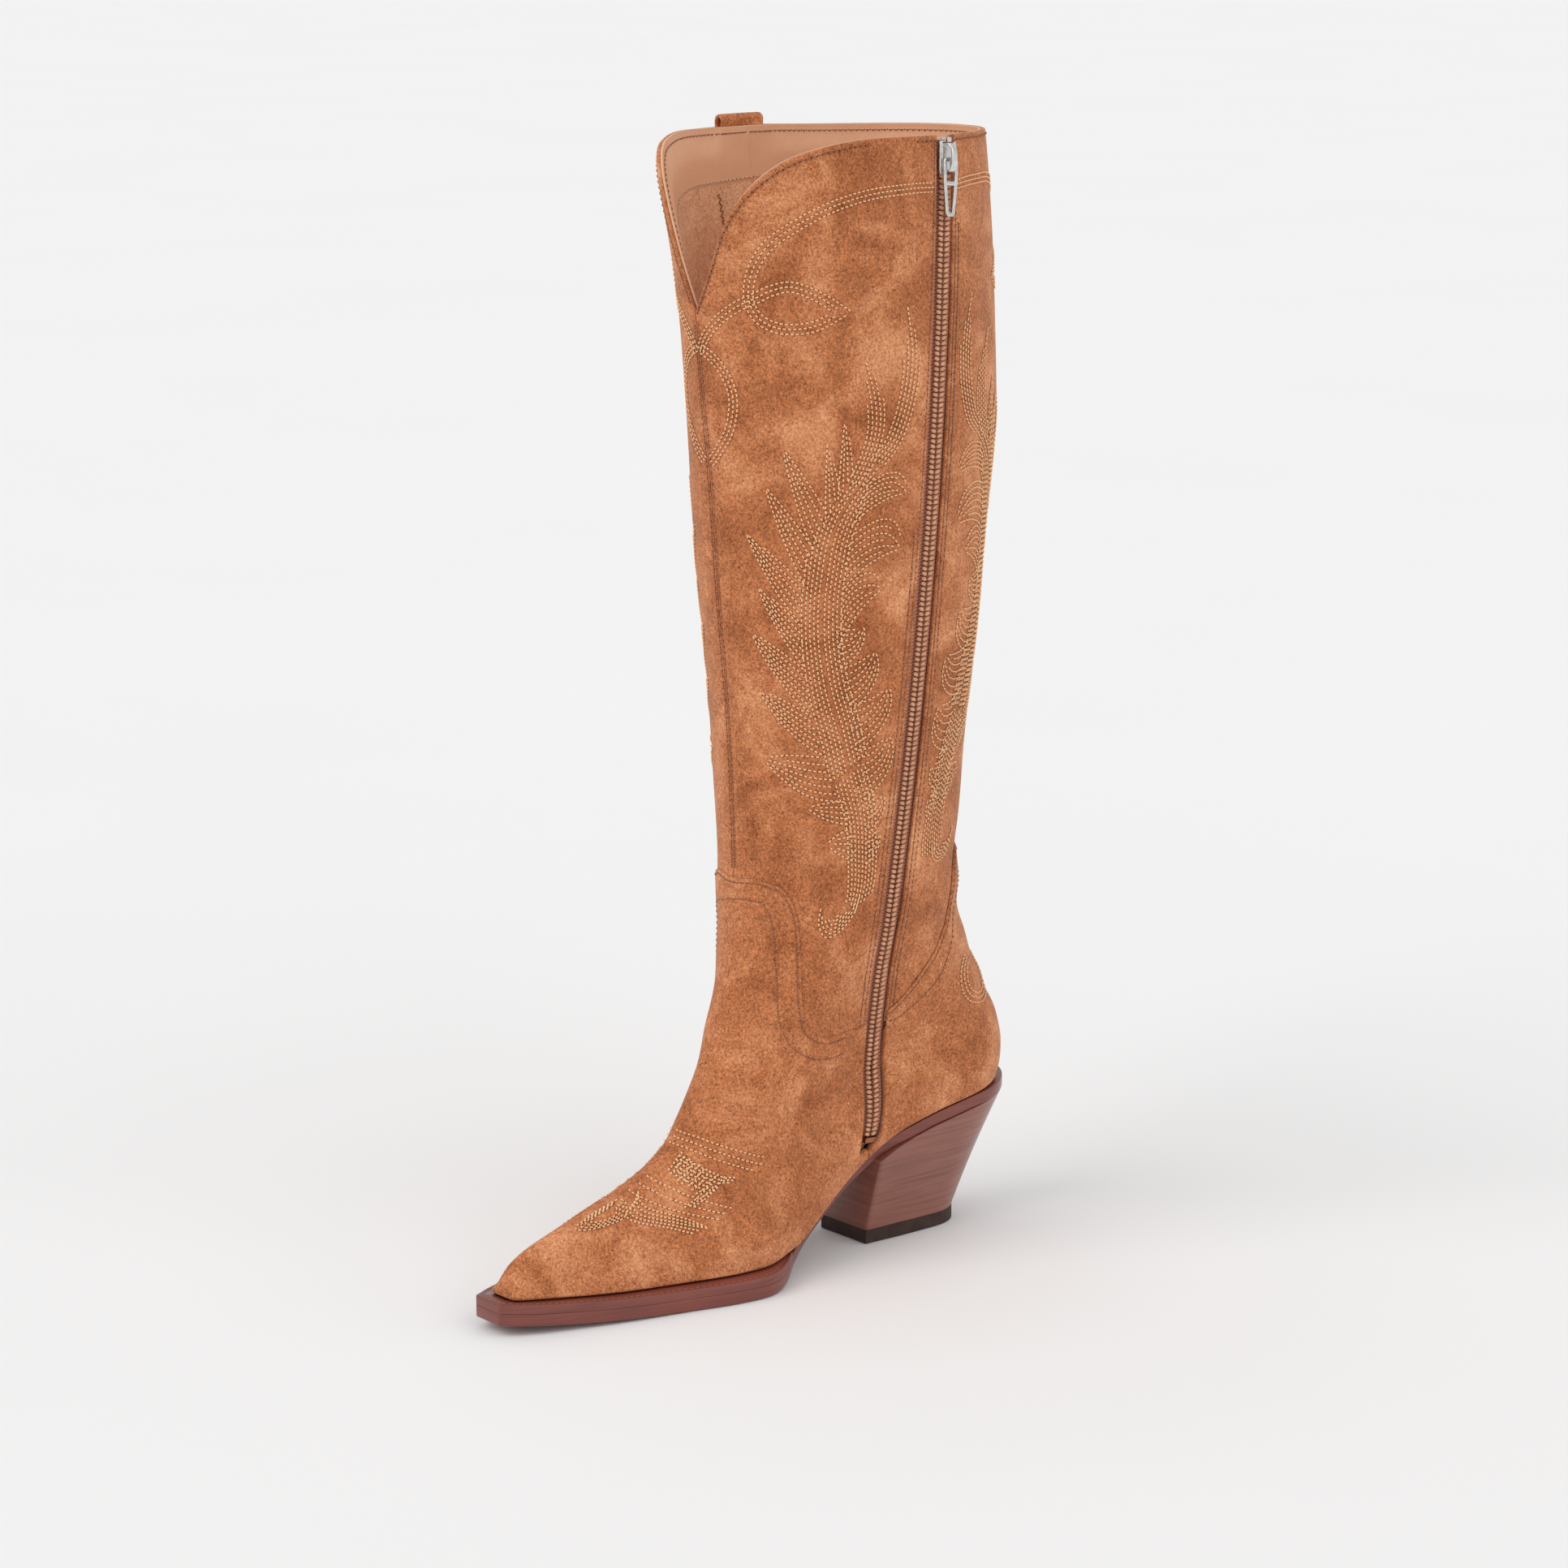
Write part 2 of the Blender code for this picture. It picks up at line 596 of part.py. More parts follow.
def make_heel():
    """Heel block that meets the curved underside of the seat, and the top piece under it."""
    steps = [0.0, 0.25, 0.5, 0.75, 1.0]
    low = TIP_HEIGHT + LAP
    points = []
    for t in steps:
        for x, y in heel_outline(t):
            high = float(SOLE_BOTTOM(y)) - LAP
            points.append((x, y, mix(low, high, t)))
    count = len(heel_outline(0.0))
    faces = grid_faces(len(steps), count, closed=True)
    faces.append(tuple(range(count)))
    top = [(len(steps) - 1) * count + i for i in range(count)]
    # the seat is curved along y only, so its cap is strips straight across
    half = count // 2
    for i in range(half):
        a, b, c, d = top[i], top[i + 1], top[count - 2 - i], top[count - 1 - i]
        faces.append((a, b, c, d) if b != c else (a, b, d))
    block = add_object("heel_block", points, faces, stacked_leather())
    frame = ((0, 0, 0), (1, 0, 0), (0, 1, 0), (0, 0, 1))
    tip = add_prism("heel_tip", heel_outline(0.0), frame, (0.0, TIP_HEIGHT), rubber())
    return block, tip


def make_fasteners(outsole, insole, block, tip):
    """Heel screw, four heel nails and the two dowels of the top piece, each in its own hole."""
    holes = [("heel_screw", 0.0, 218.0, 2.2, 16.0)]
    holes += [(f"heel_nail_{i + 1}", x, y, 1.1, 18.0)
              for i, (x, y) in enumerate([(11, 204), (-11, 204), (9, 238), (-9, 238)])]
    for name, x, y, radius, depth in holes:
        seat = float(feather(y)) + 3.2
        foot = float(SOLE_BOTTOM(y)) - depth
        drill((outsole, insole, block), x, y, foot - 0.4, seat + 6, radius + 0.3)
        add_pin(name, x, y, foot, seat, radius, steel())
    for i, y in enumerate((194.0, 222.0)):
        drill((block, tip), 0.0, y, 1.6, 16.4, 1.8)
        add_pin(f"top_piece_dowel_{i + 1}", 0.0, y, 2.0, 16.0, 1.5, steel())


# ---------------------------------------------------------------- upper
def make_upper():
    front_of_zip = zip_edge(-ZIP_HALF_SLOT)
    back_of_zip = zip_edge(ZIP_HALF_SLOT)
    front_seam = (level(OUTER_SEAM + SEAM_PHI), level(-SEAM_PHI))
    around_back = level(OUTER_SEAM + 2 * math.pi - SEAM_PHI)
    low_gap, high_gap = cleared(foxing_top, SEAM_S), cleared(foxing_top, -SEAM_S)
    hem = level(SEAM_S + 0.0010)
    # shaft leathers
    add_patch("shaft_front_medial", SHAFT_LAYER, (level(SEAM_PHI), front_of_zip), (low_gap, rim),
              (15, 9), suede())
    add_patch("shaft_front_lateral", SHAFT_LAYER, front_seam, (low_gap, rim), (15, 9), suede())
    add_patch("shaft_back", SHAFT_LAYER, (back_of_zip, around_back),
              (wrapped(low_gap), wrapped(rim)), (28, 8), suede())
    # vamp and heel foxing
    add_patch("vamp", FOXING_LAYER, (front_seam[0], front_of_zip), (hem, high_gap),
              (30, 12), suede(), grade=1.7)
    add_patch("heel_foxing", FOXING_LAYER, (back_of_zip, around_back),
              (hem, wrapped(high_gap)), (28, 11), suede())
    # stiffeners between leather and lining
    add_patch("toe_puff", STIFFENER_LAYER, (level(-0.62), level(0.62)),
              (toe_hem(0.010, 0.030), level(0.078)), (20, 5), board())
    add_patch("heel_stiffener", STIFFENER_LAYER, (level(2.3), level(2 * math.pi - 2.2)),
              (level(0.006), level(0.15)), (18, 7), board())
    # linings
    lining_front, lining_back = zip_edge(-7.0), zip_edge(7.0)
    join_low, join_high = level(LINING_JOIN - SEAM_S), level(LINING_JOIN + SEAM_S)
    face_low = shifted(facing_edge, -SEAM_S)
    add_patch("vamp_lining", LINING_LAYER, (front_seam[0], lining_front),
              (toe_hem(0.012, 0.03), join_low), (22, 8), lining(), grade=1.3)
    add_patch("heel_lining", LINING_LAYER, (lining_back, around_back),
              (level(0.012), join_low), (22, 8), lining(), grade=1.3)
    # leg linings, with a leather facing above them inside the rim
    legs = [("front_medial", (level(SEAM_PHI), lining_front), 9),
            ("front_lateral", front_seam, 9),
            ("back", (lining_back, around_back), 16)]
    for where, sides, across in legs:
        add_patch(f"leg_lining_{where}", LINING_LAYER, sides, (join_high, wrapped(face_low)),
                  (across, 11), lining())
        add_patch(f"facing_{where}", LINING_LAYER, sides, (wrapped(facing_edge), wrapped(rim)),
                  (across, 2), facing())


def wrapped(line):
    """Let phi run on past pi, round the back to the outer side."""
    return lambda phi: line(np.where(np.asarray(phi) > math.pi, np.asarray(phi) - 2 * math.pi, phi))


def toe_hem(low, extra):
    """Lower edge of an inner layer, which stops short of the narrow snip."""
    return lambda phi: low + extra * np.exp(-(np.asarray(phi) / 0.45) ** 2)


LOOP_HALF_WIDTH, LOOP_THICKNESS = 10.0, 1.2
LOOP_OUTER, LOOP_INNER = 1.65, -3.3     # faces of the strap's two legs, out from the leather
LOOP_CROWN = 5.6        # height of the loop's top over the rim
LOOP_REACH, LOOP_TUCK = 24.0, 9.0       # how far the legs run down, outside and between the layers


def loop_line(inset):
    """Side view of the strap, (out, up) in mm, from the outer leg's foot over to the tucked leg's."""
    middle, radius = (LOOP_OUTER + LOOP_INNER) / 2, (LOOP_OUTER - LOOP_INNER) / 2
    arch = [(middle + (radius - inset) * math.cos(a),
             LOOP_CROWN - radius + (radius - inset) * math.sin(a))
            for a in np.linspace(0, math.pi, 9)]
    return [(LOOP_OUTER - inset, -LOOP_REACH)] + arch + [(LOOP_INNER + inset, -LOOP_TUCK)]


def loop_point(along, out, up):
    """Point of the strap: along the rim rearwards, out from the leather and up from the rim."""
    top = surface(OUTER_SEAM, rim(OUTER_SEAM))
    z = top[2] + up
    y = top[1] + along
    level_up = (z - feather(y)) / (TOP_PLANE - feather(y))
    front, back = FRONT_Y(level_up), BACK_Y(level_up)
    phi = -np.arccos(1 - 2 * (y - front) / (back - front))
    return surface(phi, level_up) + out * outward(OUTER_SEAM, rim(OUTER_SEAM))


def make_pull_loop():
    """Strap over the rim at the outer side seam: sewn outside, tucked between the layers inside."""
    grids = []
    for inset_by in (0.0, LOOP_THICKNESS):
        grids.append(np.array([[loop_point(along, out, up) for out, up in loop_line(inset_by)]
                               for along in np.linspace(-LOOP_HALF_WIDTH, LOOP_HALF_WIDTH, 6)]))
    add_shell("pull_loop", grids[0], grids[1], suede())


# ---------------------------------------------------------------- zip
def add_strip(name, low, high, across, depth, cells, finish):
    """Bar along the zip: across and depth are ranges in the zip's own frame."""
    heights = np.linspace(low, high, cells + 1)
    corners = [(across[0], depth[0]), (across[1], depth[0]), (across[1], depth[1]),
               (across[0], depth[1])]
    points = []
    for z in heights:
        middle, sideways, out = zip_frame(z)
        points += [middle + a * sideways + d * out for a, d in corners]
    faces = grid_faces(cells + 1, 4, closed=True)
    faces += [(0, 1, 2, 3), tuple(4 * cells + i for i in range(4))]
    return add_object(name, points, faces, finish)


def make_zip():
    """Two rows of chain on their tapes, the stops at both ends and the guard behind it all."""
    stop_depth = (-1.4, 0.3)
    for name, side in (("front", -1), ("rear", 1)):
        near, far = TAPE_GAP * side, ZIP_HALF_TAPE * side
        sides = (zip_edge(min(near, far)), zip_edge(max(near, far)))
        add_patch(f"zip_tape_{name}", TAPE_LAYER, sides, (level(0.012), level(0.977)), (2, 30),
                  tape_cloth())
        reach = sorted((side * COIL_GAP, side * (COIL_GAP + COIL_WIDTH)))
        add_strip(f"zip_coil_{name}", ZIP_FOOT + 2.5, ZIP_HEAD, reach, (-1.3, 0.0), 26, coil_plastic())
        add_strip(f"top_stop_{name}", ZIP_HEAD + 0.4, ZIP_HEAD + 2.2, reach, stop_depth, 1, nickel())
    add_strip("bottom_stop", ZIP_FOOT, ZIP_FOOT + 2.1, (-2.9, 2.9), stop_depth, 1, nickel())
    guard = (zip_edge(-12.8), zip_edge(12.8))
    add_patch("zip_guard", GUARD_LAYER, guard, (level(0.03), level(0.955)), (2, 18), lining())


def make_slider():
    """Slider body, its crown and the puller that swings on the crown."""
    middle, across, out = zip_frame(SLIDER_HEIGHT)
    along = np.cross(out, across)       # upward
    half = SLIDER_LENGTH / 2
    plate, lip, flange, post = 3.8, 1.35, 3.15, 0.15
    top_low, bottom_high, bottom_low = 0.35, -3.5, -4.2
    right = [(post, bottom_high), (post, top_low), (flange, top_low), (flange, -0.95),
             (plate, -0.95), (plate, lip - 0.4), (plate - 0.6, lip)]
    section = ([(-2.9, bottom_high), (-2.9, bottom_low), (2.9, bottom_low), (2.9, bottom_high)]
               + right + [(-x, y) for x, y in reversed(right)])
    frame = (middle, across, out, along)
    add_prism("slider_body", section, frame, (-half, half), nickel())
    # crown: an arch along the slider, with the puller's bar under it
    foot, roof, wall = lip + 0.3, 3.9, 0.75
    reach = 3.1
    arch = [(-reach, foot), (-reach, roof - 0.9), (-reach + 0.9, roof), (reach - 0.9, roof),
            (reach, roof - 0.9), (reach, foot), (reach - wall, foot), (reach - wall, roof - wall - 0.2),
            (reach - wall - 0.3, roof - wall), (wall + 0.3 - reach, roof - wall),
            (wall - reach, roof - wall - 0.2), (wall - reach, foot)]
    frame = (middle, along, out, across)
    add_prism("slider_crown", arch, frame, (-0.9, 0.9), nickel())
    make_puller(middle, across, out, along)


def make_puller(middle, across, out, along):
    """Open frame that narrows to its end; its top bar passes under the crown."""
    pivot = middle + PULLER_PIVOT[0] * along + PULLER_PIVOT[1] * out
    bar, arm, width, tip = 0.5, 1.25, 3.3, 1.9
    long = PULLER_LENGTH
    outer = [(-width + 0.5, bar), (width - 0.5, bar), (width, -0.3), (width, -5.0),
             (tip + 0.3, -long + 1.2), (tip - 0.7, -long), (0.7 - tip, -long),
             (-tip - 0.3, -long + 1.2), (-width, -5.0), (-width, -0.3)]
    hole = [(-width + arm, -bar), (width - arm, -bar), (width - arm, -5.0), (0.95, -13.5),
            (0.0, -14.6), (-0.95, -13.5), (-width + arm, -5.0)]
    points = []
    for d in (-0.5, 0.5):
        for x, y in outer + hole:
            points.append(pivot + x * across + y * along + d * out)
    total, rim_count = len(outer) + len(hole), len(outer)
    faces = []
    for ring in (list(range(rim_count)), list(range(rim_count, total))):
        for a, b in zip(ring, ring[1:] + ring[:1]):
            faces.append((a, b, b + total, a + total))
    joins = [(0, 1, 11, 10), (1, 2, 11), (2, 3, 12, 11), (3, 4, 13, 12), (4, 5, 14, 13),
             (5, 6, 14), (6, 7, 15, 14), (7, 8, 16, 15), (8, 9, 10, 16), (9, 0, 10)]
    for face in joins:
        faces.append(face)
        faces.append(tuple(i + total for i in face))
    add_object("puller", points, faces, nickel())


def main():
    clear_scene()
    outsole, insole = make_bottom()
    block, tip = make_heel()
    make_fasteners(outsole, insole, block, tip)
    make_upper()
    make_pull_loop()
    make_zip()
    make_slider()


main()
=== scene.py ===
import math

import bpy
import numpy as np
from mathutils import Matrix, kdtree


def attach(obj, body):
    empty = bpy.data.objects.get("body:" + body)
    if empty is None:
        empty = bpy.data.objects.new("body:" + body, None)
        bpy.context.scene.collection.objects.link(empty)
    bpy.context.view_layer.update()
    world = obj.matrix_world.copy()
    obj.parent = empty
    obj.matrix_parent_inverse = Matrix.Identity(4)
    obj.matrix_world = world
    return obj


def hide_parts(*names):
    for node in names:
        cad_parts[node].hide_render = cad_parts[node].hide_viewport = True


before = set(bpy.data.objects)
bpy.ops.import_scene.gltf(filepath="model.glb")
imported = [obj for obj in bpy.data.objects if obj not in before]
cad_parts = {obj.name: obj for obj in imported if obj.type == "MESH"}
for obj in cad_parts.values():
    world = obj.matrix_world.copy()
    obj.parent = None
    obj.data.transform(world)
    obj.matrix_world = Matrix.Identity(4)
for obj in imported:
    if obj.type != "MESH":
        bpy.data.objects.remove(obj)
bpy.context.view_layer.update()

# The upper follows the CAD part's own surface, in boot coordinates (mm): x towards the inner side,
# y from the toe tip back, z up. MM, X_MID and Y_MID turn them into the row frame.
MM, X_MID, Y_MID = 0.001, -0.132, 130.5
TOP_PLANE, OUTSOLE, LIFT, TIP_HEIGHT = 460.0, 5.2, 0.4, 5.6
SLIDER_HEIGHT, PULLER_PIVOT = 443.5, (-0.6, 2.4)
BOOT = "boot"


# ---------------------------------------------------------------- smooth curves
def smooth(points):
    """Smooth function through (x, value) points, with no overshoot between them."""
    xs, ys = (np.array(column, float) for column in zip(*points))
    step = np.diff(xs)
    slope = np.diff(ys) / step
    tangent = np.empty_like(ys)
    tangent[1:-1] = (slope[:-1] * step[1:] + slope[1:] * step[:-1]) / (step[:-1] + step[1:])
    tangent[1:-1][slope[:-1] * slope[1:] <= 0] = 0
    tangent[0], tangent[-1] = slope[0], slope[-1]

    def at(x):
        x = np.clip(x, xs[0], xs[-1])
        i = np.clip(np.searchsorted(xs, x, side="right") - 1, 0, len(xs) - 2)
        h = step[i]
        t = (x - xs[i]) / h
        return (ys[i] * (1 + 2 * t) * (1 - t) ** 2 + h * tangent[i] * t * (1 - t) ** 2
                + ys[i + 1] * t * t * (3 - 2 * t) + h * tangent[i + 1] * t * t * (t - 1))
    return at


def smoothstep(low, high, x):
    t = np.clip((x - low) / (high - low), 0, 1)
    return t * t * (3 - 2 * t)


def mix(a, b, t):
    return a * (1 - t) + b * t


# ---------------------------------------------------------------- profiles of the boot
# underside of the sole: toe spring, flat at the ball, then the waist and the raised heel seat
SOLE_BOTTOM = smooth([(0, 4.3), (20, 2.6), (45, 1.0), (70, 0.2), (85, 0), (108, 0), (122, 1.2),
                      (136, 6.6), (150, 15.6), (163, 25.2), (176, 34.0), (190, 41.6), (206, 47.0),
                      (226, 51.2), (262, 56.0)])
# the welt ends in the waist, where the upper comes down onto the outsole itself
WELT_THICKNESS = smooth([(0, 3.7), (108, 3.7), (125, 3.2), (142, 0.4), (262, 0.4)])


def feather(y):
    """Height at which the upper starts."""
    return SOLE_BOTTOM(y) + OUTSOLE + WELT_THICKNESS(y) + LIFT


FRONT = [(6.8, 13.7), (7.3, 17.6), (10.8, 23.2), (18.0, 27.8), (29.5, 32.0), (43, 36.2), (58.5, 41.0),
         (70, 45.4), (80, 50.6), (90, 58.0), (98.3, 68.5), (104.6, 80.5), (110.4, 93),
         (116.0, 106), (120.8, 120), (123.1, 135), (123.8, 152), (123.4, 175), (121.2, 214),
         (115.5, 280), (109.5, 350), (104, 400), (97, 430), (89, 460)]
BACK = [(256.2, 62), (257.4, 67), (257.6, 76), (255.2, 88), (249, 102), (240.8, 118), (234.7, 134),
        (232.0, 150), (232.6, 170), (236, 214), (243.4, 280), (250.7, 350), (250.3, 400), (244.6, 460)]


def profile_line(profile):
    """Many points (y, z) along the smooth curve through a profile."""
    ys, zs = (np.array(column, float) for column in zip(*profile))
    walked = np.concatenate([[0], np.cumsum(np.hypot(np.diff(ys), np.diff(zs)))])
    t = np.linspace(0, walked[-1], 2000)
    return smooth(list(zip(walked, ys)))(t), smooth(list(zip(walked, zs)))(t)


def along_rings(profile):
    """y of a profile as a function of s."""
    y, z = profile_line(profile)
    s = (z - feather(y)) / (TOP_PLANE - feather(y))
    return lambda level: np.interp(level, s, y)


FRONT_Y = along_rings(FRONT)
BACK_Y = along_rings(BACK)
THROAT_Y, THROAT_Z = 120.8, 120.0
RIDGE_Y, RIDGE_Z = (column[profile_line(FRONT)[1] <= THROAT_Z]
                    for column in profile_line(FRONT))


def ridge(y):
    """Height of the instep ridge; behind the throat it climbs away from the foot."""
    past = np.maximum(y - THROAT_Y, 0)
    return np.interp(y, RIDGE_Y, RIDGE_Z) + 4.0 * past + 0.35 * past ** 2


# half widths of the upper at the feather line, inner and outer side
INNER_FOOT = smooth([(0, 5.6), (12, 9.4), (25, 13.2), (47, 19.4), (76, 25.6), (100, 31.0),
                     (113, 31.6), (128, 28.2), (140, 25.0), (152, 22.8), (166, 21.8), (182, 22.5),
                     (205, 25.5), (230, 27), (262, 27)])
OUTER_FOOT = smooth([(0, 5.6), (12, 9.6), (25, 14.2), (47, 22.0), (76, 30.0), (100, 35.5),
                     (115, 36.5), (132, 35.0), (150, 31.0), (175, 27.5), (205, 26.8), (230, 27.4),
                     (262, 27.4)])
# half width of the shaft by height
SHAFT_HALF = smooth([(0, 31), (60, 31.5), (85, 32), (110, 33.5), (135, 35.8), (160, 37.9),
                     (214, 42), (280, 44.9), (340, 45.9), (400, 45.3), (440, 44.4), (460, 43.9)])
HEEL_ROUND = smooth([(0, 29), (0.06, 31), (0.12, 36), (0.2, 46), (0.34, 53), (1, 74)])
FOOT_BULGE = 2.6        # the upper swells this far over the feather line
# how much leaner than an ellipse the foot is towards its ridge, inner and outer side
INNER_TAPER, OUTER_TAPER = 0.30, 0.62


def round_off(t):
    t = np.clip(t, 0, 1)
    return np.sqrt(1 - (1 - t) ** 2)


def surface(phi, s):
    """Point of the master surface, as an array of (x, y, z)."""
    phi, s = np.broadcast_arrays(np.asarray(phi, float), np.asarray(s, float))
    side = np.where(np.sin(phi) >= 0, 1.0, -1.0)
    front, back = FRONT_Y(s), BACK_Y(s)
    y = front + (back - front) * (1 - np.cos(phi)) / 2
    z = feather(y) + s * (TOP_PLANE - feather(y))
    half = (back - front) / 2
    swell = FOOT_BULGE * np.sin(np.pi * np.clip(s / 0.09, 0, 1)) * smoothstep(20, 70, y)
    foot = np.where(side > 0, INNER_FOOT(y), OUTER_FOOT(y)) + swell
    width = mix(foot, SHAFT_HALF(z), smoothstep(0.02, 0.26, s))
    rise = np.clip((z - feather(y)) / np.maximum(ridge(y) - feather(y), 0.05), 0, 1)
    nose = round_off((y - front) / (3.0 * np.clip(1 - s / 0.004, 0.01, 1)))
    taper = np.where(side > 0, INNER_TAPER, OUTER_TAPER)
    over_foot = np.sqrt(1 - rise ** 2) * (1 - taper * rise * (2 - rise)) * nose
    round_leg = round_off((y - front) / half)
    front_round = mix(over_foot, round_leg, smoothstep(0.12, 0.30, s))
    heel_length = mix(HEEL_ROUND(s), half, smoothstep(0.20, 0.34, s))
    width = width * front_round * round_off((back - y) / heel_length)
    return np.stack([side * width, y, z], -1)


def outward(phi, s):
    """Unit normal of the master surface."""
    d = 1e-3
    across = surface(phi + d, s) - surface(phi - d, s)
    upward = surface(phi, s + d) - surface(phi, np.maximum(s - d, 0))
    normal = np.cross(across, upward)
    return normal / np.linalg.norm(normal, axis=-1, keepdims=True)


# ---------------------------------------------------------------- lines on the boot
# height of the rim (in s) from the V dip at the front to the level back, inner and outer side
INNER_RIM = smooth([(0, 0.838), (0.2, 0.874), (0.42, 0.917), (0.65, 0.947), (0.87, 0.966),
                    (1.18, 0.979), (1.5, 0.983), (2.0, 0.981), (math.pi, 0.980)])
OUTER_RIM = smooth([(0, 0.838), (0.2, 0.883), (0.42, 0.938), (0.65, 0.970), (0.87, 0.981),
                    (1.18, 0.984), (1.5, 0.984), (2.0, 0.981), (math.pi, 0.980)])
# top edge of the vamp, along the zip, and up to the top edge of the heel foxing
FOXING_TOP = smooth([(0, 0.336), (0.42, 0.334), (0.62, 0.320), (0.71, 0.297), (0.78, 0.254),
                     (0.91, 0.212), (1.07, 0.187), (1.19, 0.174), (1.38, 0.160), (1.60, 0.145),
                     (1.74, 0.142), (1.87, 0.150), (1.985, 0.165), (2.16, 0.187), (2.27, 0.205),
                     (2.33, 0.235), (2.42, 0.256), (2.7, 0.262), (math.pi, 0.264)])
LINING_LOW = 0.197      # the leg linings start here, above the foot linings
OUTER_SEAM = -1.5       # phi of the side seam on the outer side
FACING_DEPTH = 0.052    # depth of the leather facing inside the rim, in s


def rim(phi):
    return np.where(np.asarray(phi) >= 0, INNER_RIM(np.abs(phi)), OUTER_RIM(np.abs(phi)))


def foxing_top(phi):
    return FOXING_TOP(np.abs(phi))


def facing_edge(phi):
    return rim(phi) - FACING_DEPTH


# ---------------------------------------------------------------- the zip's line
# Where the slider runs, the chain lies on one true arc through three points of the inner side.
ARC_TOP, ARC_MIDDLE, ARC_LOW = (196.7, 447.0), (186.65, 292.0), (175.4, 138.0)
ANKLE_LINE = smooth([(44, 175.4), (63, 176.6), (84, 176.4), (108, 175.6), (124, 175.0),
                     (138, 175.4)])
BLEND_LOW = 112.0       # between here and the arc's end the chain's frame turns into the arc's
CHAIN_LOW, CHAIN_HIGH = 49.5, 449.2     # heights of the coil's ends


def inner_place(y, z):
    """(phi, s) of the place on the inner side with this y and z."""
    s = (z - feather(y)) / (TOP_PLANE - feather(y))
    front, back = FRONT_Y(s), BACK_Y(s)
    return np.arccos(1 - 2 * (y - front) / (back - front)), s


def on_inner_side(y, z):
    """Point of the master surface's inner side with this y and z."""
    return surface(*inner_place(y, z))


def arc_through(a, b, c):
    """Centre, radius and unit axis of the circle through three points."""
    ab, ac = b - a, c - a
    axis = np.cross(ab, ac)
    to_centre = (np.cross(axis, ab) * (ac @ ac) + np.cross(ac, axis) * (ab @ ab)) / (2 * axis @ axis)
    return a + to_centre, np.linalg.norm(to_centre), axis / np.linalg.norm(axis)


ARC_CENTRE, ARC_RADIUS, ARC_AXIS = arc_through(on_inner_side(*ARC_TOP),
                                               on_inner_side(*ARC_MIDDLE),
                                               on_inner_side(*ARC_LOW))
ARC_OUT = np.cross(ARC_AXIS, [0, 0, 1.0])
ARC_OUT /= np.linalg.norm(ARC_OUT)
ARC_UP = np.cross(ARC_OUT, ARC_AXIS)


def arc_point(z):
    """Point of the arc at a height (or points, for an array of heights)."""
    angle = np.arcsin((z - ARC_CENTRE[2]) / (ARC_RADIUS * ARC_UP[2]))
    return ARC_CENTRE + ARC_RADIUS * (np.multiply.outer(np.cos(angle), ARC_OUT)
                                      + np.multiply.outer(np.sin(angle), ARC_UP))


def zip_y(z):
    """y of the zip's middle line at a height."""
    on_arc = arc_point(np.maximum(z, ARC_LOW[1]))[..., 1]
    return np.where(z >= ARC_LOW[1], on_arc, ANKLE_LINE(z))


def zip_frame(z):
    """Middle of the chain at a height, with unit vectors across it (rearwards) and outward."""
    if z >= ARC_LOW[1]:
        middle = arc_point(z)
        out = middle - ARC_CENTRE
        out /= np.linalg.norm(out)
        return middle, ARC_AXIS, out
    place = inner_place(ANKLE_LINE(z), z)
    middle = surface(*place)
    _, arc_across, arc_out = zip_frame(ARC_LOW[1])
    blend = smoothstep(BLEND_LOW, ARC_LOW[1], z)
    out = mix(outward(*place), arc_out, blend)
    out /= np.linalg.norm(out)
    upward = on_inner_side(ANKLE_LINE(z + 2), z + 2) - middle
    across = mix(np.cross(upward, out) / np.linalg.norm(upward), arc_across, blend)
    return middle, across / np.linalg.norm(across), out


def zip_edge(shift):
    """phi of a line beside the zip, as a function of s; shift is rearwards."""
    levels = np.linspace(0, 1, 160)
    angles = np.linspace(0.9, 2.6, 500)
    found = []
    for s in levels:
        points = surface(angles, np.full_like(angles, s))
        found.append(np.interp(0.0, points[:, 1] - zip_y(points[:, 2]) - shift, angles))
    return lambda s: np.interp(s, levels, found)


# ---------------------------------------------------------------- the visual skin
def from_zip(y, z):
    """How far a point of the inner side is from the zip's middle line, in mm."""
    return np.abs(y - zip_y(z))


def relief(phi, s):
    """Soft folds of worn suede, in mm: none beside the zip or at the sole."""
    phi, s = np.broadcast_arrays(np.asarray(phi, float), np.asarray(s, float))
    place = surface(phi, s)
    ankle = (0.55 * np.sin(s * 95 + 1.6 * np.cos(phi + 0.6)) * np.exp(-((s - 0.21) / 0.07) ** 2)
             + 0.35 * np.sin(s * 61 - 2.2 * phi) * np.exp(-((s - 0.27) / 0.09) ** 2))
    leg = (0.50 * np.sin(2.3 * phi + 9.0 * s + 0.7) * np.sin(17 * s + 1.1 * phi)
           + 0.22 * np.sin(4.1 * phi - 14 * s)) * smoothstep(0.3, 0.5, s)
    instep = 0.30 * np.sin(s * 120 + 2.0 * phi) * np.exp(-((s - 0.10) / 0.045) ** 2)
    inner_side = (np.sin(phi) > 0) & (np.cos(phi) < 0.98)
    by_zip = mix(1.0, smoothstep(9, 30, from_zip(place[..., 1], place[..., 2])), inner_side)
    calm = smoothstep(0.012, 0.06, s) * by_zip
    return (ankle + leg + instep) * calm


def skin(phi, s, depth):
    """Points at a depth (mm, outward) off the visual skin, in boot coordinates."""
    return surface(phi, s) + (depth + relief(phi, s))[..., None] * outward(phi, s)


def to_row(points):
    return (np.asarray(points, float) - [X_MID, Y_MID, 0.0]) * MM


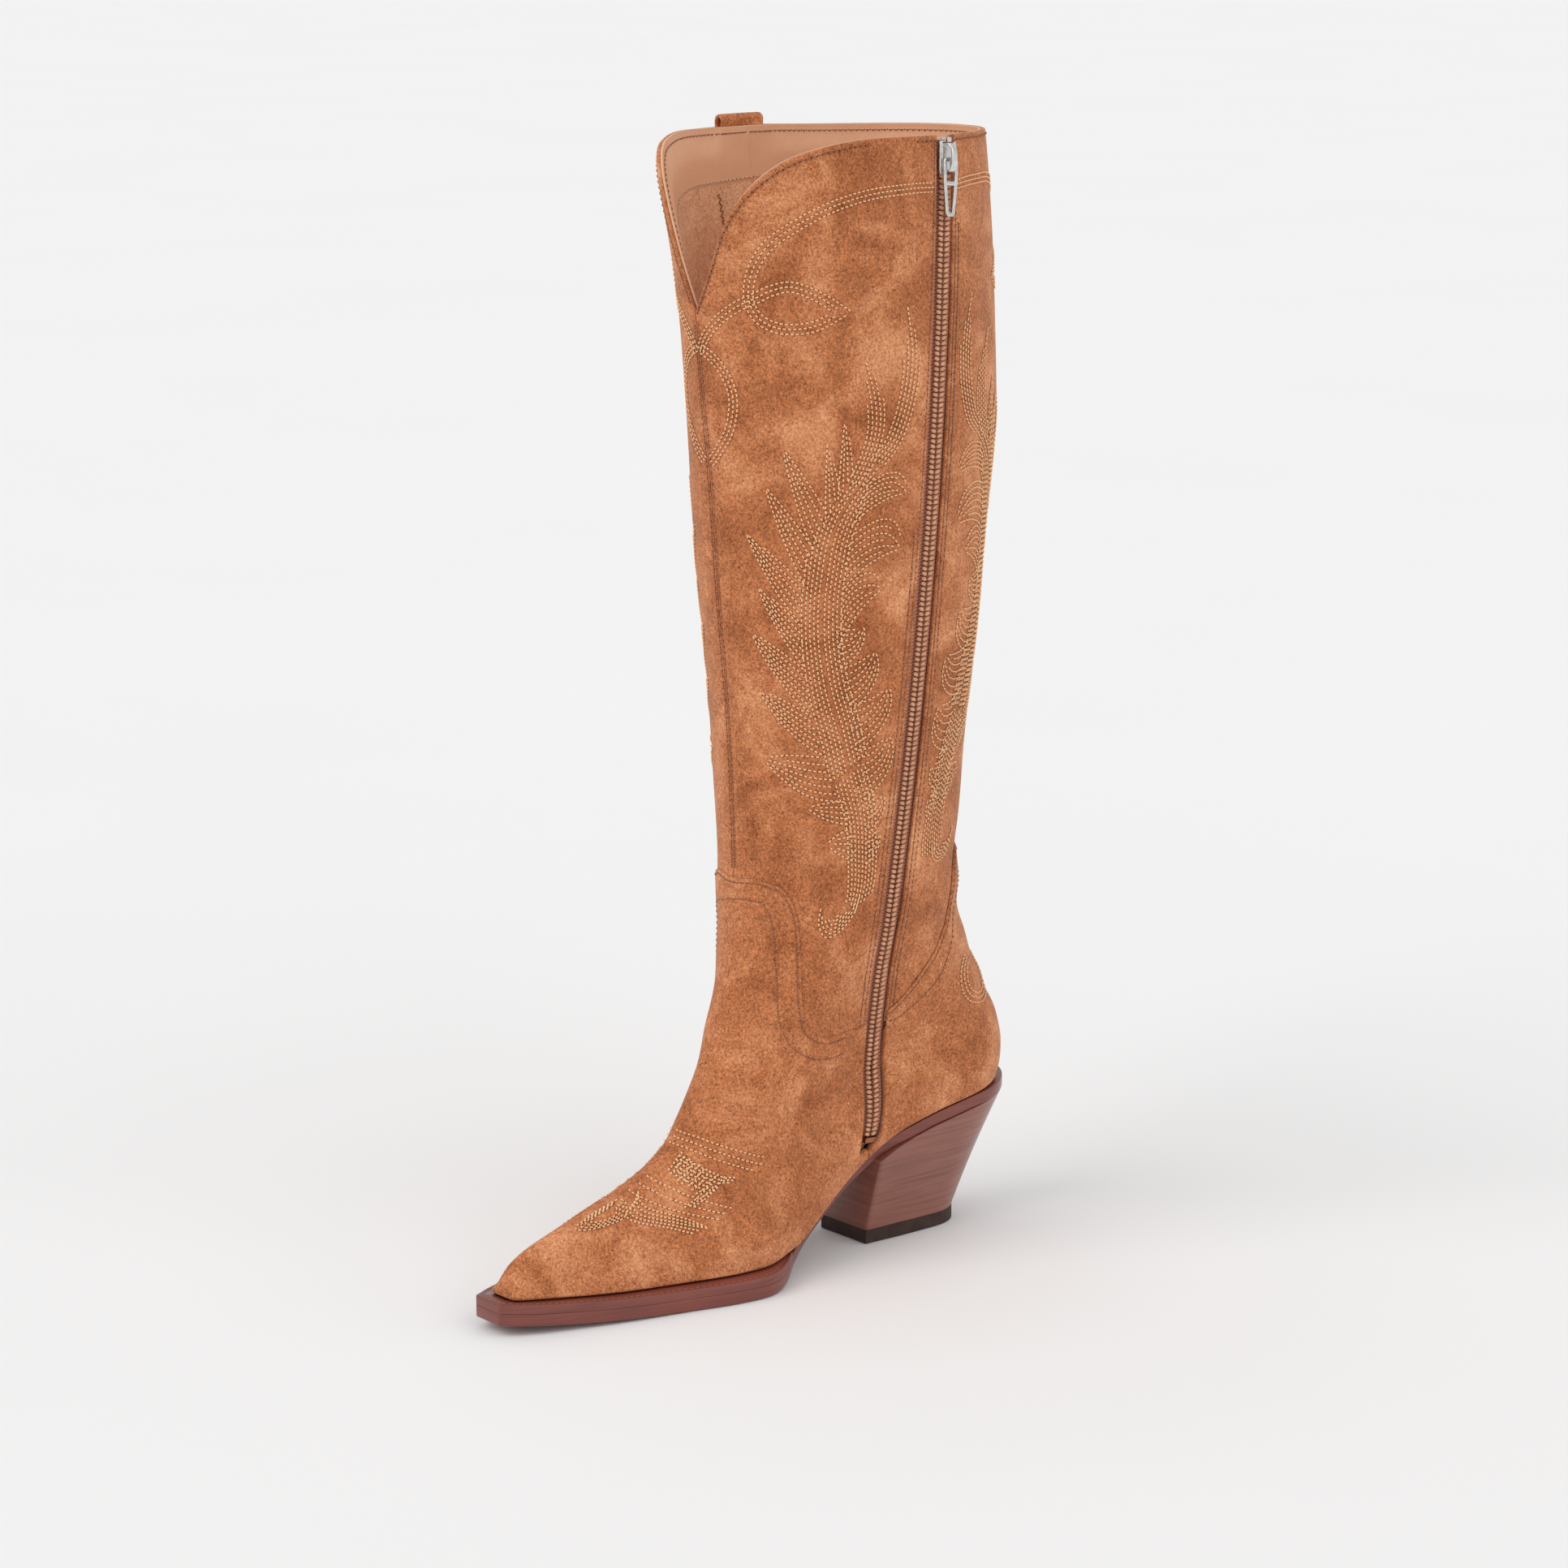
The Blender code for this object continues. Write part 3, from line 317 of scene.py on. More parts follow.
# ---------------------------------------------------------------- mesh making
def add_mesh(name, points, faces, finish, slot=None, replaces=(), body=BOOT, sharp=None):
    """A piece of the object from points in boot coordinates; it rides on a body."""
    mesh = bpy.data.meshes.new(name)
    mesh.from_pydata(to_row(points).tolist(), [], faces)
    mesh.validate()
    mesh.materials.append(finish)
    mesh.shade_smooth()
    if sharp:
        mesh.set_sharp_from_angle(angle=math.radians(sharp))
    made = bpy.data.objects.new(name, mesh)
    bpy.context.scene.collection.objects.link(made)
    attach(made, body)
    if replaces:
        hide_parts(*replaces)
    return made


def end_faces(count, first, last):
    """Faces that close a tube at its first and at its last ring of count points."""
    return [tuple(first + k for k in range(count - 1, -1, -1)), tuple(last + k for k in range(count))]


def grid_faces(rows, columns, first=0, closed=False, flip=False):
    """Quads of a grid of points; a closed one joins its last column to its first."""
    c_end = columns if closed else columns - 1
    r, c = np.meshgrid(np.arange(rows - 1), np.arange(c_end), indexing="ij")
    a = first + r * columns + c
    b = first + r * columns + (c + 1) % columns
    quads = np.stack([a, b, b + columns, a + columns], -1).reshape(-1, 4)
    return (quads[:, ::-1] if flip else quads).tolist()


def shell(name, outer, inner, finish, **facts):
    """Closed solid between two grids; outer is on the right-hand side of columns x rows."""
    rows, columns = outer.shape[:2]
    count = rows * columns
    faces = grid_faces(rows, columns) + grid_faces(rows, columns, count, flip=True)
    border = (list(range(columns)) + [r * columns + columns - 1 for r in range(1, rows)]
              + [(rows - 1) * columns + c for c in range(columns - 2, -1, -1)]
              + [r * columns for r in range(rows - 2, 0, -1)])
    for a, b in zip(border, border[1:] + border[:1]):
        faces.append((b, a, a + count, b + count))
    return add_mesh(name, np.concatenate([outer.reshape(-1, 3), inner.reshape(-1, 3)]), faces,
                    finish, **facts)


def spread(length, pitch, edge):
    """Parameters from 0 to 1 along a length in mm, with a few close to each end for its edge."""
    near = np.array([0, 0.15, 0.4, 0.8]) * edge / length
    middle = np.linspace(1.4 * edge / length, 1 - 1.4 * edge / length, max(3, int(length / pitch)))
    return np.concatenate([near, middle, 1 - near[::-1]])


def border_distance(points):
    """Distances in mm of each grid point: from the nearest border, the top and the bottom."""
    def along(axis):
        step = np.linalg.norm(np.diff(points, axis=axis), axis=-1)
        pad = [(0, 0), (0, 0)]
        pad[axis] = (1, 0)
        walked = np.pad(np.cumsum(step, axis=axis), pad)
        return np.minimum(walked, np.take(walked, [-1], axis=axis) - walked), walked
    sideways, _ = along(1)
    upward, walked = along(0)
    return np.minimum(sideways, upward), np.take(walked, [-1], axis=0) - walked, walked


needle = []             # where the stitches pull the leather down, in boot coordinates
PULL_DEPTH, PULL_REACH = 0.32, 0.80     # how deep and how wide they do, in mm


def panel(name, layer, sides, ends, finish, pitch=1.5, edge=0.7, lap=0.0, under=0.0, sewn=True,
          **facts):
    """Leather panel on the skin with rounded edges, pulled down along its stitching.
    lap: width along the top edge where the panel lies on the one above; under: width along the
    bottom edge that is tucked beneath the panel below."""
    s = np.full((2, 2), 0.5)
    u = np.array([[0.0, 1.0]])
    v = np.array([[0.0], [1.0]])
    for _ in range(8):
        phi = mix(sides[0](s), sides[1](s), u)
        s = mix(ends[0](phi), ends[1](phi), v)
    corner = surface(phi, s)
    middle = surface(np.linspace(phi[1, 0], phi[1, 1], 40), np.full(40, s.mean()))
    width = np.linalg.norm(np.diff(middle, axis=0), axis=1).sum()
    height = np.linalg.norm(corner[1] - corner[0], axis=-1).max()
    u = spread(width, pitch, edge)[None, :]
    v = spread(height, pitch, edge)[:, None]
    s = np.full((v.size, u.size), 0.5)
    for _ in range(12):
        phi = mix(sides[0](s), sides[1](s), u)
        s = mix(ends[0](phi), ends[1](phi), v)
    flat = skin(phi, s, np.zeros_like(s))
    normal = outward(phi, s)
    near, below_top, above_low = border_distance(flat)
    outer = np.full_like(s, layer[1])
    inner = np.full_like(s, layer[0])
    if lap:
        inner = mix(0.06, layer[0], smoothstep(lap, lap + 3, below_top))
    if under:
        tuck = 1 - smoothstep(under, under + 2, above_low)
        outer = outer - 0.15 * tuck
    gap = np.clip(edge - near, 0, edge)
    outer = outer - (edge - np.sqrt(edge ** 2 - gap ** 2)) * 0.9
    if sewn and needle:
        outer = outer - sunk((flat + outer[..., None] * normal).reshape(-1, 3)).reshape(s.shape)
    return shell(name, flat + outer[..., None] * normal, flat + inner[..., None] * normal, finish,
                 **facts)


def sunk(points):
    """How far the thread pulls the leather down at each point, in mm."""
    found = np.zeros(len(points))
    for i, p in enumerate(points):
        _, _, distance = STITCH_TREE.find(p)
        found[i] = distance
    return PULL_DEPTH * np.exp(-(found / PULL_REACH) ** 2)


# ---------------------------------------------------------------- stitches
STITCH_RINGS, STITCH_SIDES, HOLE_SIDES = 5, 5, 6


class Thread:
    """All the stitches of one colour, gathered into one mesh, with dark lenses of painted shade for
    their needle holes in another.
    """

    def __init__(self):
        self.rings, self.holes = [], []

    def sew(self, line, normals, pitch=2.0, fill=0.72, radius=0.27, proud=0.06, pull=True, hole=0.0):
        """Stitches along a line of points (mm) with the leather's normals."""
        step = np.linalg.norm(np.diff(line, axis=0), axis=1)
        walked = np.concatenate([[0], np.cumsum(step)])
        shift = (0.0, 0.55, 0.25, 0.8)[len(self.rings) % 4] * pitch
        count = int((walked[-1] - shift) / pitch)
        if count < 1:
            return
        starts = shift + np.arange(count) * pitch
        # five rings along each stitch: sunk thin ends and a raised middle
        at = np.array([0, 0.16, 0.5, 0.84, 1.0]) * fill * pitch
        where = (starts[:, None] + at[None, :]).ravel()
        place = np.stack([np.interp(where, walked, line[:, k]) for k in range(3)], -1)
        up = np.stack([np.interp(where, walked, normals[:, k]) for k in range(3)], -1)
        up /= np.linalg.norm(up, axis=1, keepdims=True)
        place, up = (a.reshape(count, STITCH_RINGS, 3) for a in (place, up))
        along = place[:, -1:] - place[:, :1]
        along = along / np.linalg.norm(along, axis=-1, keepdims=True)
        across = np.cross(up, along)
        lift = np.array([-1.0, 0.35, 0.75, 0.35, -1.0])[None, :, None] * radius + proud
        girth = np.array([0.60, 0.95, 1.1, 0.95, 0.60])[None, :, None] * radius
        centre = place + up * lift
        turn = np.linspace(0, 2 * math.pi, STITCH_SIDES + 1)[:-1]
        self.rings.append(np.stack([centre + girth * (math.cos(a) * across + 0.8 * math.sin(a) * up)
                                    for a in turn], 2))
        # painted shade: a dark lens in the gap before each stitch stands in for the shaded needle hole
        if hole:
            gap = (1 - fill) * pitch / 2
            spot = place[:, 0] - gap * along[:, 0] + up[:, 0] * (proud - 0.12)
            side, ahead, rise = across[:, 0], along[:, 0], up[:, 0]
            turn = np.linspace(0, 2 * math.pi, HOLE_SIDES + 1)[:-1]
            ring = np.stack([spot + hole * (math.cos(a) * side + 0.8 * math.sin(a) * ahead)
                             for a in turn], 1)
            self.holes.append(np.concatenate([ring, (spot + 0.16 * rise)[:, None],
                                              (spot - 0.2 * rise)[:, None]], 1))
        if pull:
            needle.extend(line_points(line, walked, pitch * 0.5))

    def build(self, name, finish):
        rings = np.concatenate(self.rings)
        stitch = grid_faces(STITCH_RINGS, STITCH_SIDES, closed=True)
        ends = end_faces(STITCH_SIDES, 0, (STITCH_RINGS - 1) * STITCH_SIDES)
        base = np.arange(len(rings))[:, None, None] * STITCH_RINGS * STITCH_SIDES
        faces = (base + np.array(stitch)[None]).reshape(-1, 4).tolist()
        faces += (base + np.array(ends)[None]).reshape(-1, STITCH_SIDES).tolist()
        add_mesh(name, rings.reshape(-1, 3), faces, finish)
        if self.holes:
            lenses = np.concatenate(self.holes)
            base = np.arange(len(lenses))[:, None, None] * (HOLE_SIDES + 2)
            sides = [(k, (k + 1) % HOLE_SIDES) for k in range(HOLE_SIDES)]
            caps = [(a, b, HOLE_SIDES) for a, b in sides] + [(b, a, HOLE_SIDES + 1) for a, b in sides]
            faces = (base + np.array(caps)[None]).reshape(-1, 3).tolist()
            add_mesh(name + "_holes", lenses.reshape(-1, 3), faces, HOLE_SHADE)


def line_points(line, walked, pitch):
    """Points every pitch mm along a line."""
    where = np.arange(0, walked[-1], pitch)
    return np.stack([np.interp(where, walked, line[:, k]) for k in range(3)], -1).tolist()


GOLD, BROWN = Thread(), Thread()
SLOT_HALF = 5.4         # from the zip's middle to the suede's cut edge, in mm
ZIP_PHI, FRONT_ZIP, BACK_ZIP = zip_edge(0.0), zip_edge(-SLOT_HALF), zip_edge(SLOT_HALF)


def row(thread, phi, s, depth=0.0, **stitch):
    """A row of stitches along a path of (phi, s), resampled finely."""
    phi, s = np.asarray(phi, float), np.asarray(s, float)
    t = np.linspace(0, 1, len(phi))
    fine = np.linspace(0, 1, max(60, 4 * len(phi)))
    phi, s = np.interp(fine, t, phi), np.interp(fine, t, s)
    thread.sew(skin(phi, s, np.full_like(phi, depth)), outward(phi, s), **stitch)


# the embroidery is drawn in motif coordinates: about a millimetre round the leg and up it
ROUND, RISE = 50.0, 400.0


def bezier(points, count=40):
    """Smooth curve through the control polygon (a Bezier of any degree)."""
    points = np.array(points, float)
    t = np.linspace(0, 1, count)[:, None]
    n = len(points) - 1
    return sum(math.comb(n, i) * (1 - t) ** (n - i) * t ** i * p for i, p in enumerate(points))


def through(points, count=90):
    """Smooth curve that passes through every point."""
    points = np.array(points, float)
    padded = np.concatenate([[2 * points[0] - points[1]], points, [2 * points[-1] - points[-2]]])
    place = np.linspace(0, len(points) - 1 - 1e-6, count)
    i = place.astype(int)
    t = (place - i)[:, None]
    a, b, c, d = padded[i], padded[i + 1], padded[i + 2], padded[i + 3]
    return b + 0.5 * t * (c - a + t * (2 * a - 5 * b + 4 * c - d + t * (3 * (b - c) + d - a)))


def stitch_motif(place, curve):
    """place puts motif coordinates onto (phi, s) of one panel."""
    phi, s = place(curve[:, 0], curve[:, 1])
    edge = 0.75 / ROUND
    turn = np.abs(phi)
    on_leather = np.where(turn < ZIP_PHI(s), FRONT_ZIP(s) - turn, turn - BACK_ZIP(s)) > edge
    row(GOLD, phi[on_leather], s[on_leather], pitch=2.0, radius=0.30, hole=0.29)


def offset(curve, by):
    """Parallel curve, by mm to the left of its direction."""
    d = np.gradient(curve, axis=0)
    d /= np.linalg.norm(d, axis=1, keepdims=True)
    return curve + by * np.stack([-d[:, 1], d[:, 0]], -1)


def part_of(curve, low, high):
    """The stretch of a curve between two heights, in motif coordinates."""
    return curve[(curve[:, 1] >= low) & (curve[:, 1] <= high)]


def leaf(place, low, high, tip, bulge, rows):
    """Leaf of stitch rows that leave the stem between low and high and meet at the tip."""
    low, high, tip = (np.array(p, float) for p in (low, high, tip))
    for k in range(rows):
        t = k / max(rows - 1, 1)
        reach = 1.0 if k % 4 == 0 else (0.90 if k % 2 == 0 else 0.72)
        start = mix(low, high, t)
        run = tip - start
        side = np.array([-run[1], run[0]]) / np.linalg.norm(run)
        bend = mix(bulge[0], bulge[1], t)
        curve = bezier([start, start + 0.35 * run + side * bend,
                        start + 0.75 * run + side * bend * 0.8, tip])
        stitch_motif(place, curve[:int(len(curve) * reach)])


STEM = through([(58, 108), (61, 120), (60.5, 134), (58.5, 150), (54, 167), (50, 185),
                (46, 201), (44, 217), (44, 230), (45, 240), (48, 256), (54, 268), (63, 278)], 260)
RIGHT_PLUME = through([(63, 278), (69, 285), (74, 299), (76, 315), (75, 333)], 70)
LEFT_PLUME = through([(55, 272), (60, 281), (63, 291), (63, 303), (60.5, 317)], 70)
ROW_GAP = 1.45
# low and high end of the leaf's root, tip, bulge of its outer rows, and number of rows
LEAVES = [((50, 268), (55, 276), (53.5, 297), (0.5, -0.5), 4),
          ((46, 262), (51, 270), (47.5, 290), (0.5, -0.5), 4),
          ((42, 252), (47, 264), (33, 289), (1.5, -1), 5),
          ((38.5, 241), (42, 253), (26, 276), (1.5, -1), 5),
          ((37, 227), (38.5, 241), (17, 260), (2, -1), 6),
          ((38, 211), (37, 226), (21, 241), (2, -1), 6),
          ((40, 194), (38, 210), (17, 225), (2.5, -1.5), 7),
          ((44, 178), (40, 193), (19, 204), (2.5, -2), 7),
          ((51, 158), (44, 177), (20, 179), (3, -3), 7),
          ((56, 147), (52.5, 157), (38, 160), (1.5, -1.5), 5),
          ((58, 132), (57, 145), (46, 144), (1, -2), 5)]
SCROLLS = [((54, 258), (59, 271), (73, 263), (4, 9)), ((51, 236), (53, 254), (71, 243), (4, 13)),
           ((50, 216), (51, 234), (65, 231), (3, 10)), ((49, 208), (49, 224), (58.5, 220), (-6, -2)),
           ((53, 190), (50, 208), (62.5, 209), (-8, -2)), ((56, 174), (52, 194), (68, 193), (-9, -3)),
           ((60, 154), (55, 176), (68.5, 174), (-9, -3)), ((62, 140), (59, 158), (67.5, 152), (-5, -1)),
           ((62, 128), (61, 142), (67, 138), (-4, -1))]
SCROLL_ROWS = 7


def flame(place):
    """Generic western stitch motif: a bare stem with leaves to one side and scrolls to the other."""
    upper, lower = part_of(STEM, 168, 280), part_of(STEM, 112, 168)
    for k in range(5):
        by = 1.1 + ROW_GAP * k
        left, right = offset(upper, by), offset(upper, -by)
        stitch_motif(place, left[: len(left) - 12 * k])
        stitch_motif(place, right[: len(right) - 6 * k])
        stitch_motif(place, offset(RIGHT_PLUME, ROW_GAP * (k - 2) * 0.95)[: 70 - 9 * abs(k - 2)])
        stitch_motif(place, offset(LEFT_PLUME, ROW_GAP * (k - 2) * 0.9)[: 70 - 9 * abs(k - 2)])
    for k in range(-4, 5):
        stitch_motif(place, offset(lower, ROW_GAP * k * 0.95)[2 * abs(k):])
    for low, high, tip, bulge, rows in LEAVES:
        leaf(place, low, high, tip, bulge, rows)
    for low, high, tip, bulge in SCROLLS:
        leaf(place, low, high, tip, bulge, SCROLL_ROWS)
    curl = through([(61, 118), (59, 112), (54, 108.5), (48, 109), (44.5, 115), (45, 121)], 50)
    for k in range(6):
        stitch_motif(place, offset(curl, -1.3 * k)[3 * k: 50 - 3 * k])


# the eye's pointed end, how far the cut reaches from it, and the cut's normal
EYE_TIP, CUT_REACH, CUT_NORMAL = (54.5, 334.5), 12, (0.156, 0.988)


def mitred(curve, side):
    """Cuts a row on the line that halves the eye's pointed end."""
    from_tip = curve - np.array(EYE_TIP)
    past = side * (CUT_NORMAL[1] * from_tip[:, 1] + CUT_NORMAL[0] * from_tip[:, 0])
    return curve[(np.hypot(from_tip[:, 0], from_tip[:, 1]) > CUT_REACH) | (past > 0.1)]


def loop_top(place):
    """Triple rows that sweep from the zip, close in an eye, cross and fall to the seam."""
    sweep = through([(94, 373), (86, 374), (79, 374.3), (68, 374), (57, 371.5), (47, 367),
                     (35, 359.5), (28, 351), (25, 342), (27, 335), (33, 331), (40, 330), (47, 331),
                     EYE_TIP, (57.2, 336)], 220)
    back = through([(56.8, 332.2), EYE_TIP, (48, 340.5), (40, 344.5), (33, 343.5), (28, 341.3),
                    (20, 338), (11, 332.5), (4.5, 326.5), (1.0, 321)], 120)
    bulge = through([(1.0, 323.5), (8, 320), (13.5, 314), (15.8, 306), (13, 295.5), (6, 287),
                     (1.0, 283)])
    for by in (-1.7, 0.0, 1.7):
        stitch_motif(place, mitred(offset(sweep, by), -1))
        stitch_motif(place, mitred(offset(back, by), 1))
        stitch_motif(place, offset(bulge, by))


def on_front(side):
    return lambda a, b: (side * a / ROUND, b / RISE)


def on_back(side):
    """Mirrored about the zip's line onto the rear panel."""
    return lambda a, b: (side * (2 * ZIP_PHI(b / RISE) - a / ROUND), b / RISE)


# ---------------------------------------------------------------- materials
class Look:
    """Principled material with small helpers for its nodes; noise sizes are in millimetres."""

    def __init__(self, name, roughness=0.6, metallic=0.0, **uniform):
        self.material = bpy.data.materials.new(name)
        self.material.use_nodes = True
        self.tree = self.material.node_tree
        self.shader = self.tree.nodes["Principled BSDF"]
        self.shader.inputs["Roughness"].default_value = roughness
        self.shader.inputs["Metallic"].default_value = metallic
        for socket, value in uniform.items():
            self.shader.inputs[socket.replace("_", " ")].default_value = value
        self.where = self.node("ShaderNodeTexCoord").outputs["Object"]

    def node(self, kind, **settings):
        made = self.tree.nodes.new(kind)
        for key, value in settings.items():
            setattr(made, key, value)
        return made

    def link(self, source, target):
        self.tree.links.new(source, target)

    def stretched(self, scale, turn=(0, 0, 0)):
        mapping = self.node("ShaderNodeMapping")
        mapping.inputs["Scale"].default_value = scale
        mapping.inputs["Rotation"].default_value = turn
        self.link(self.where, mapping.inputs["Vector"])
        return mapping.outputs["Vector"]

    def noise(self, size, detail=3.0, rough=0.55, distortion=0.0, vector=None):
        made = self.node("ShaderNodeTexNoise")
        self.link(vector or self.where, made.inputs["Vector"])
        made.inputs["Scale"].default_value = 1.0 / (size * MM)
        made.inputs["Detail"].default_value = detail
        made.inputs["Roughness"].default_value = rough
        made.inputs["Distortion"].default_value = distortion
        return made.outputs["Fac"]

    def ramp(self, factor, *stops):
        """Colour or grey stops (place, value)."""
        made = self.node("ShaderNodeValToRGB")
        self.link(factor, made.inputs["Fac"])
        points = made.color_ramp.elements
        while len(points) < len(stops):
            points.new(0.5)
        for element, (place, value) in zip(points, stops):
            element.position = place
            element.color = (*value, 1.0) if isinstance(value, tuple) else (value, value, value, 1.0)
        return made.outputs["Color"]

    def mixed(self, a, b, factor, mode="MIX"):
        made = self.node("ShaderNodeMix", data_type="RGBA", blend_type=mode)
        sockets = made.inputs["Factor"], made.inputs[6], made.inputs[7]
        for socket, value in zip(sockets, (factor, a, b)):
            if isinstance(value, bpy.types.NodeSocket):
                self.link(value, socket)
            elif isinstance(value, tuple):
                socket.default_value = (*value, 1.0)
            else:
                socket.default_value = value
        return made.outputs[2]

    def colour(self, source):
        self.link(source, self.shader.inputs["Base Color"])

    def rough(self, source):
        self.link(source, self.shader.inputs["Roughness"])

    def bump(self, *layers):
        """Bump from (height, strength, distance in mm) layers, the last one on top."""
        normal = None
        for height, strength, distance in layers:
            made = self.node("ShaderNodeBump")
            made.inputs["Strength"].default_value = strength
            made.inputs["Distance"].default_value = distance * MM
            self.link(height, made.inputs["Height"])
            if normal:
                self.link(normal, made.inputs["Normal"])
            normal = made.outputs["Normal"]
        self.link(normal, self.shader.inputs["Normal"])


def suede_look(name, dark, middle, light, patch=27.0):
    look = Look(name, 0.93, Sheen_Weight=0.30, Sheen_Roughness=0.45, Specular_IOR_Level=0.10)
    look.shader.inputs["Sheen Tint"].default_value = (1.0, 0.80, 0.64, 1.0)
    cloud = look.noise(patch, 6.0, 0.66, 0.7)
    brushed = look.noise(4.6, 4.0, 0.62, 1.0)
    nap = look.noise(0.95, 4.0, 0.72, 0.6)
    fibre = look.noise(0.32, 2.0, 0.6)
    base = look.ramp(cloud, (0.30, dark), (0.5, middle), (0.72, light))
    streaks = look.ramp(brushed, (0.30, 0.41), (0.5, 0.5), (0.70, 0.58))
    base = look.mixed(base, streaks, 0.55, "OVERLAY")
    grain = look.ramp(nap, (0.34, 0.04), (0.5, 0.5), (0.66, 0.95))
    base = look.mixed(base, grain, 0.62, "OVERLAY")
    speck = look.ramp(fibre, (0.3, 0.22), (0.7, 0.78))
    look.colour(look.mixed(base, speck, 0.45, "OVERLAY"))
    look.bump((brushed, 0.20, 0.9), (nap, 0.65, 0.30), (fibre, 0.45, 0.10))
    return look.material


def leather_look(name, dark, light, roughness, pebble=1.1):
    look = Look(name, roughness, Specular_IOR_Level=0.4)
    cloud = look.noise(26.0, 4.0, 0.6, 0.4)
    cells = look.node("ShaderNodeTexVoronoi", feature="DISTANCE_TO_EDGE")
    look.link(look.where, cells.inputs["Vector"])
    cells.inputs["Scale"].default_value = 1.0 / (pebble * MM)
    crease = look.ramp(cells.outputs["Distance"], (0.0, 0.0), (0.25, 1.0))
    base = look.ramp(cloud, (0.3, dark), (0.7, light))
    look.colour(look.mixed(base, crease, 0.10, "MULTIPLY"))
    look.rough(look.ramp(look.noise(5.0), (0.3, roughness - 0.07), (0.7, roughness + 0.09)))
    look.bump((cells.outputs["Distance"], 0.18, 0.12), (look.noise(0.5), 0.15, 0.05))
    return look.material


def stacked_look(name, dark, light, layer, slope, roughness, strength=0.35):
    """Burnished layers of leather: fine lines across the piece."""
    look = Look(name, roughness, Coat_Weight=0.35, Coat_Roughness=0.22, Specular_IOR_Level=0.45)
    tilted = look.stretched((0.022, 0.035, 1.0), (slope, 0.0, 0.0))
    lines = look.noise(layer, 3.0, 0.55, 0.35, tilted)
    joints = look.noise(layer * 4, 2.0, 0.4, 0.2, tilted)
    cloud = look.noise(22.0, 3.0, 0.5)
    base = look.ramp(lines, (0.32, dark), (0.60, light))
    seam = look.ramp(joints, (0.470, 1.0), (0.497, 0.62), (0.503, 0.62), (0.530, 1.0))
    base = look.mixed(base, seam, 0.32, "MULTIPLY")
    look.colour(look.mixed(base, look.ramp(cloud, (0.3, 0.43), (0.7, 0.57)), 0.7, "OVERLAY"))
    look.rough(look.ramp(cloud, (0.3, roughness - 0.06), (0.7, roughness + 0.08)))
    look.bump((lines, strength, 0.06))
    return look.material


def woven_look(name, dark, light, pitch=0.7):
    look = Look(name, 0.9, Sheen_Weight=0.15, Specular_IOR_Level=0.2)
    wave = look.node("ShaderNodeTexWave", wave_type="BANDS", bands_direction="Z")
    look.link(look.where, wave.inputs["Vector"])
    wave.inputs["Scale"].default_value = 0.16 / (pitch * MM)
    wave.inputs["Distortion"].default_value = 1.2
    cross = look.noise(0.5, 2.0)
    base = look.ramp(wave.outputs["Fac"], (0.2, dark), (0.8, light))
    look.colour(look.mixed(base, look.ramp(cross, (0.3, 0.35), (0.7, 0.65)), 0.5, "OVERLAY"))
    look.bump((wave.outputs["Fac"], 0.5, 0.15), (cross, 0.4, 0.1))
    return look.material


def thread_look(name, dark, light):
    look = Look(name, 0.5, Sheen_Weight=0.3, Specular_IOR_Level=0.5)
    ply = look.noise(0.35, 2.0, 0.6, 0.6)
    look.colour(look.mixed(look.ramp(ply, (0.3, dark), (0.7, light)),
                           look.ramp(look.noise(14.0), (0.3, 0.40), (0.7, 0.60)), 0.6, "OVERLAY"))
    look.bump((ply, 0.5, 0.1))
    return look.material


def coil_look():
    look = Look("zip_coil_plastic", 0.42, Specular_IOR_Level=0.5)
    shade = look.noise(3.0, 3.0)
    look.colour(look.ramp(shade, (0.3, (0.52, 0.235, 0.125)), (0.7, (0.74, 0.385, 0.225))))
    look.bump((look.noise(0.4), 0.2, 0.05))
    return look.material


def metal_look(name, dark, light, roughness, scratch=0.12):
    look = Look(name, roughness, 1.0)
    wear = look.noise(2.5, 4.0, 0.6)
    lines = look.noise(0.25, 3.0, 0.6, 0.0, look.stretched((1.0, 1.0, 0.08)))
    look.colour(look.ramp(wear, (0.3, dark), (0.7, light)))
    look.rough(look.ramp(wear, (0.3, roughness - 0.05), (0.75, roughness + 0.10)))
    look.bump((lines, scratch, 0.02))
    return look.material


def rubber_look():
    look = Look("heel_rubber_moulded", 0.62, Specular_IOR_Level=0.35)
    look.colour(look.ramp(look.noise(6.0, 4.0), (0.3, (0.030, 0.014, 0.010)),
                          (0.7, (0.060, 0.030, 0.022))))
    look.bump((look.noise(0.6, 3.0), 0.25, 0.08))
    return look.material


def board_look():
    look = Look("fibre_board_pressed", 0.85)
    fibre = look.noise(0.8, 4.0, 0.7)
    look.colour(look.ramp(fibre, (0.3, (0.33, 0.22, 0.13)), (0.7, (0.52, 0.39, 0.27))))
    look.bump((fibre, 0.4, 0.15))
    return look.material


SUEDE = suede_look("suede_nap", (0.335, 0.103, 0.037), (0.500, 0.175, 0.070), (0.74, 0.325, 0.155))
FLESH = suede_look("lining_flesh", (0.70, 0.35, 0.19), (0.82, 0.45, 0.26), (0.92, 0.54, 0.33), 12.0)
FACING = leather_look("collar_leather", (0.80, 0.43, 0.245), (0.90, 0.51, 0.31), 0.50, 0.7)
SOLE = stacked_look("sole_edge_leather", (0.170, 0.036, 0.023), (0.215, 0.047, 0.031), 1.6, 0.0,
                    0.34, 0.06)
WELT_TOP = stacked_look("welt_leather", (0.165, 0.036, 0.023), (0.215, 0.050, 0.033), 1.6, 0.0,
                        0.38, 0.10)
HEEL = stacked_look("stacked_heel_leather", (0.215, 0.070, 0.045), (0.285, 0.100, 0.068), 1.5, 0.10,
                    0.34, 0.14)
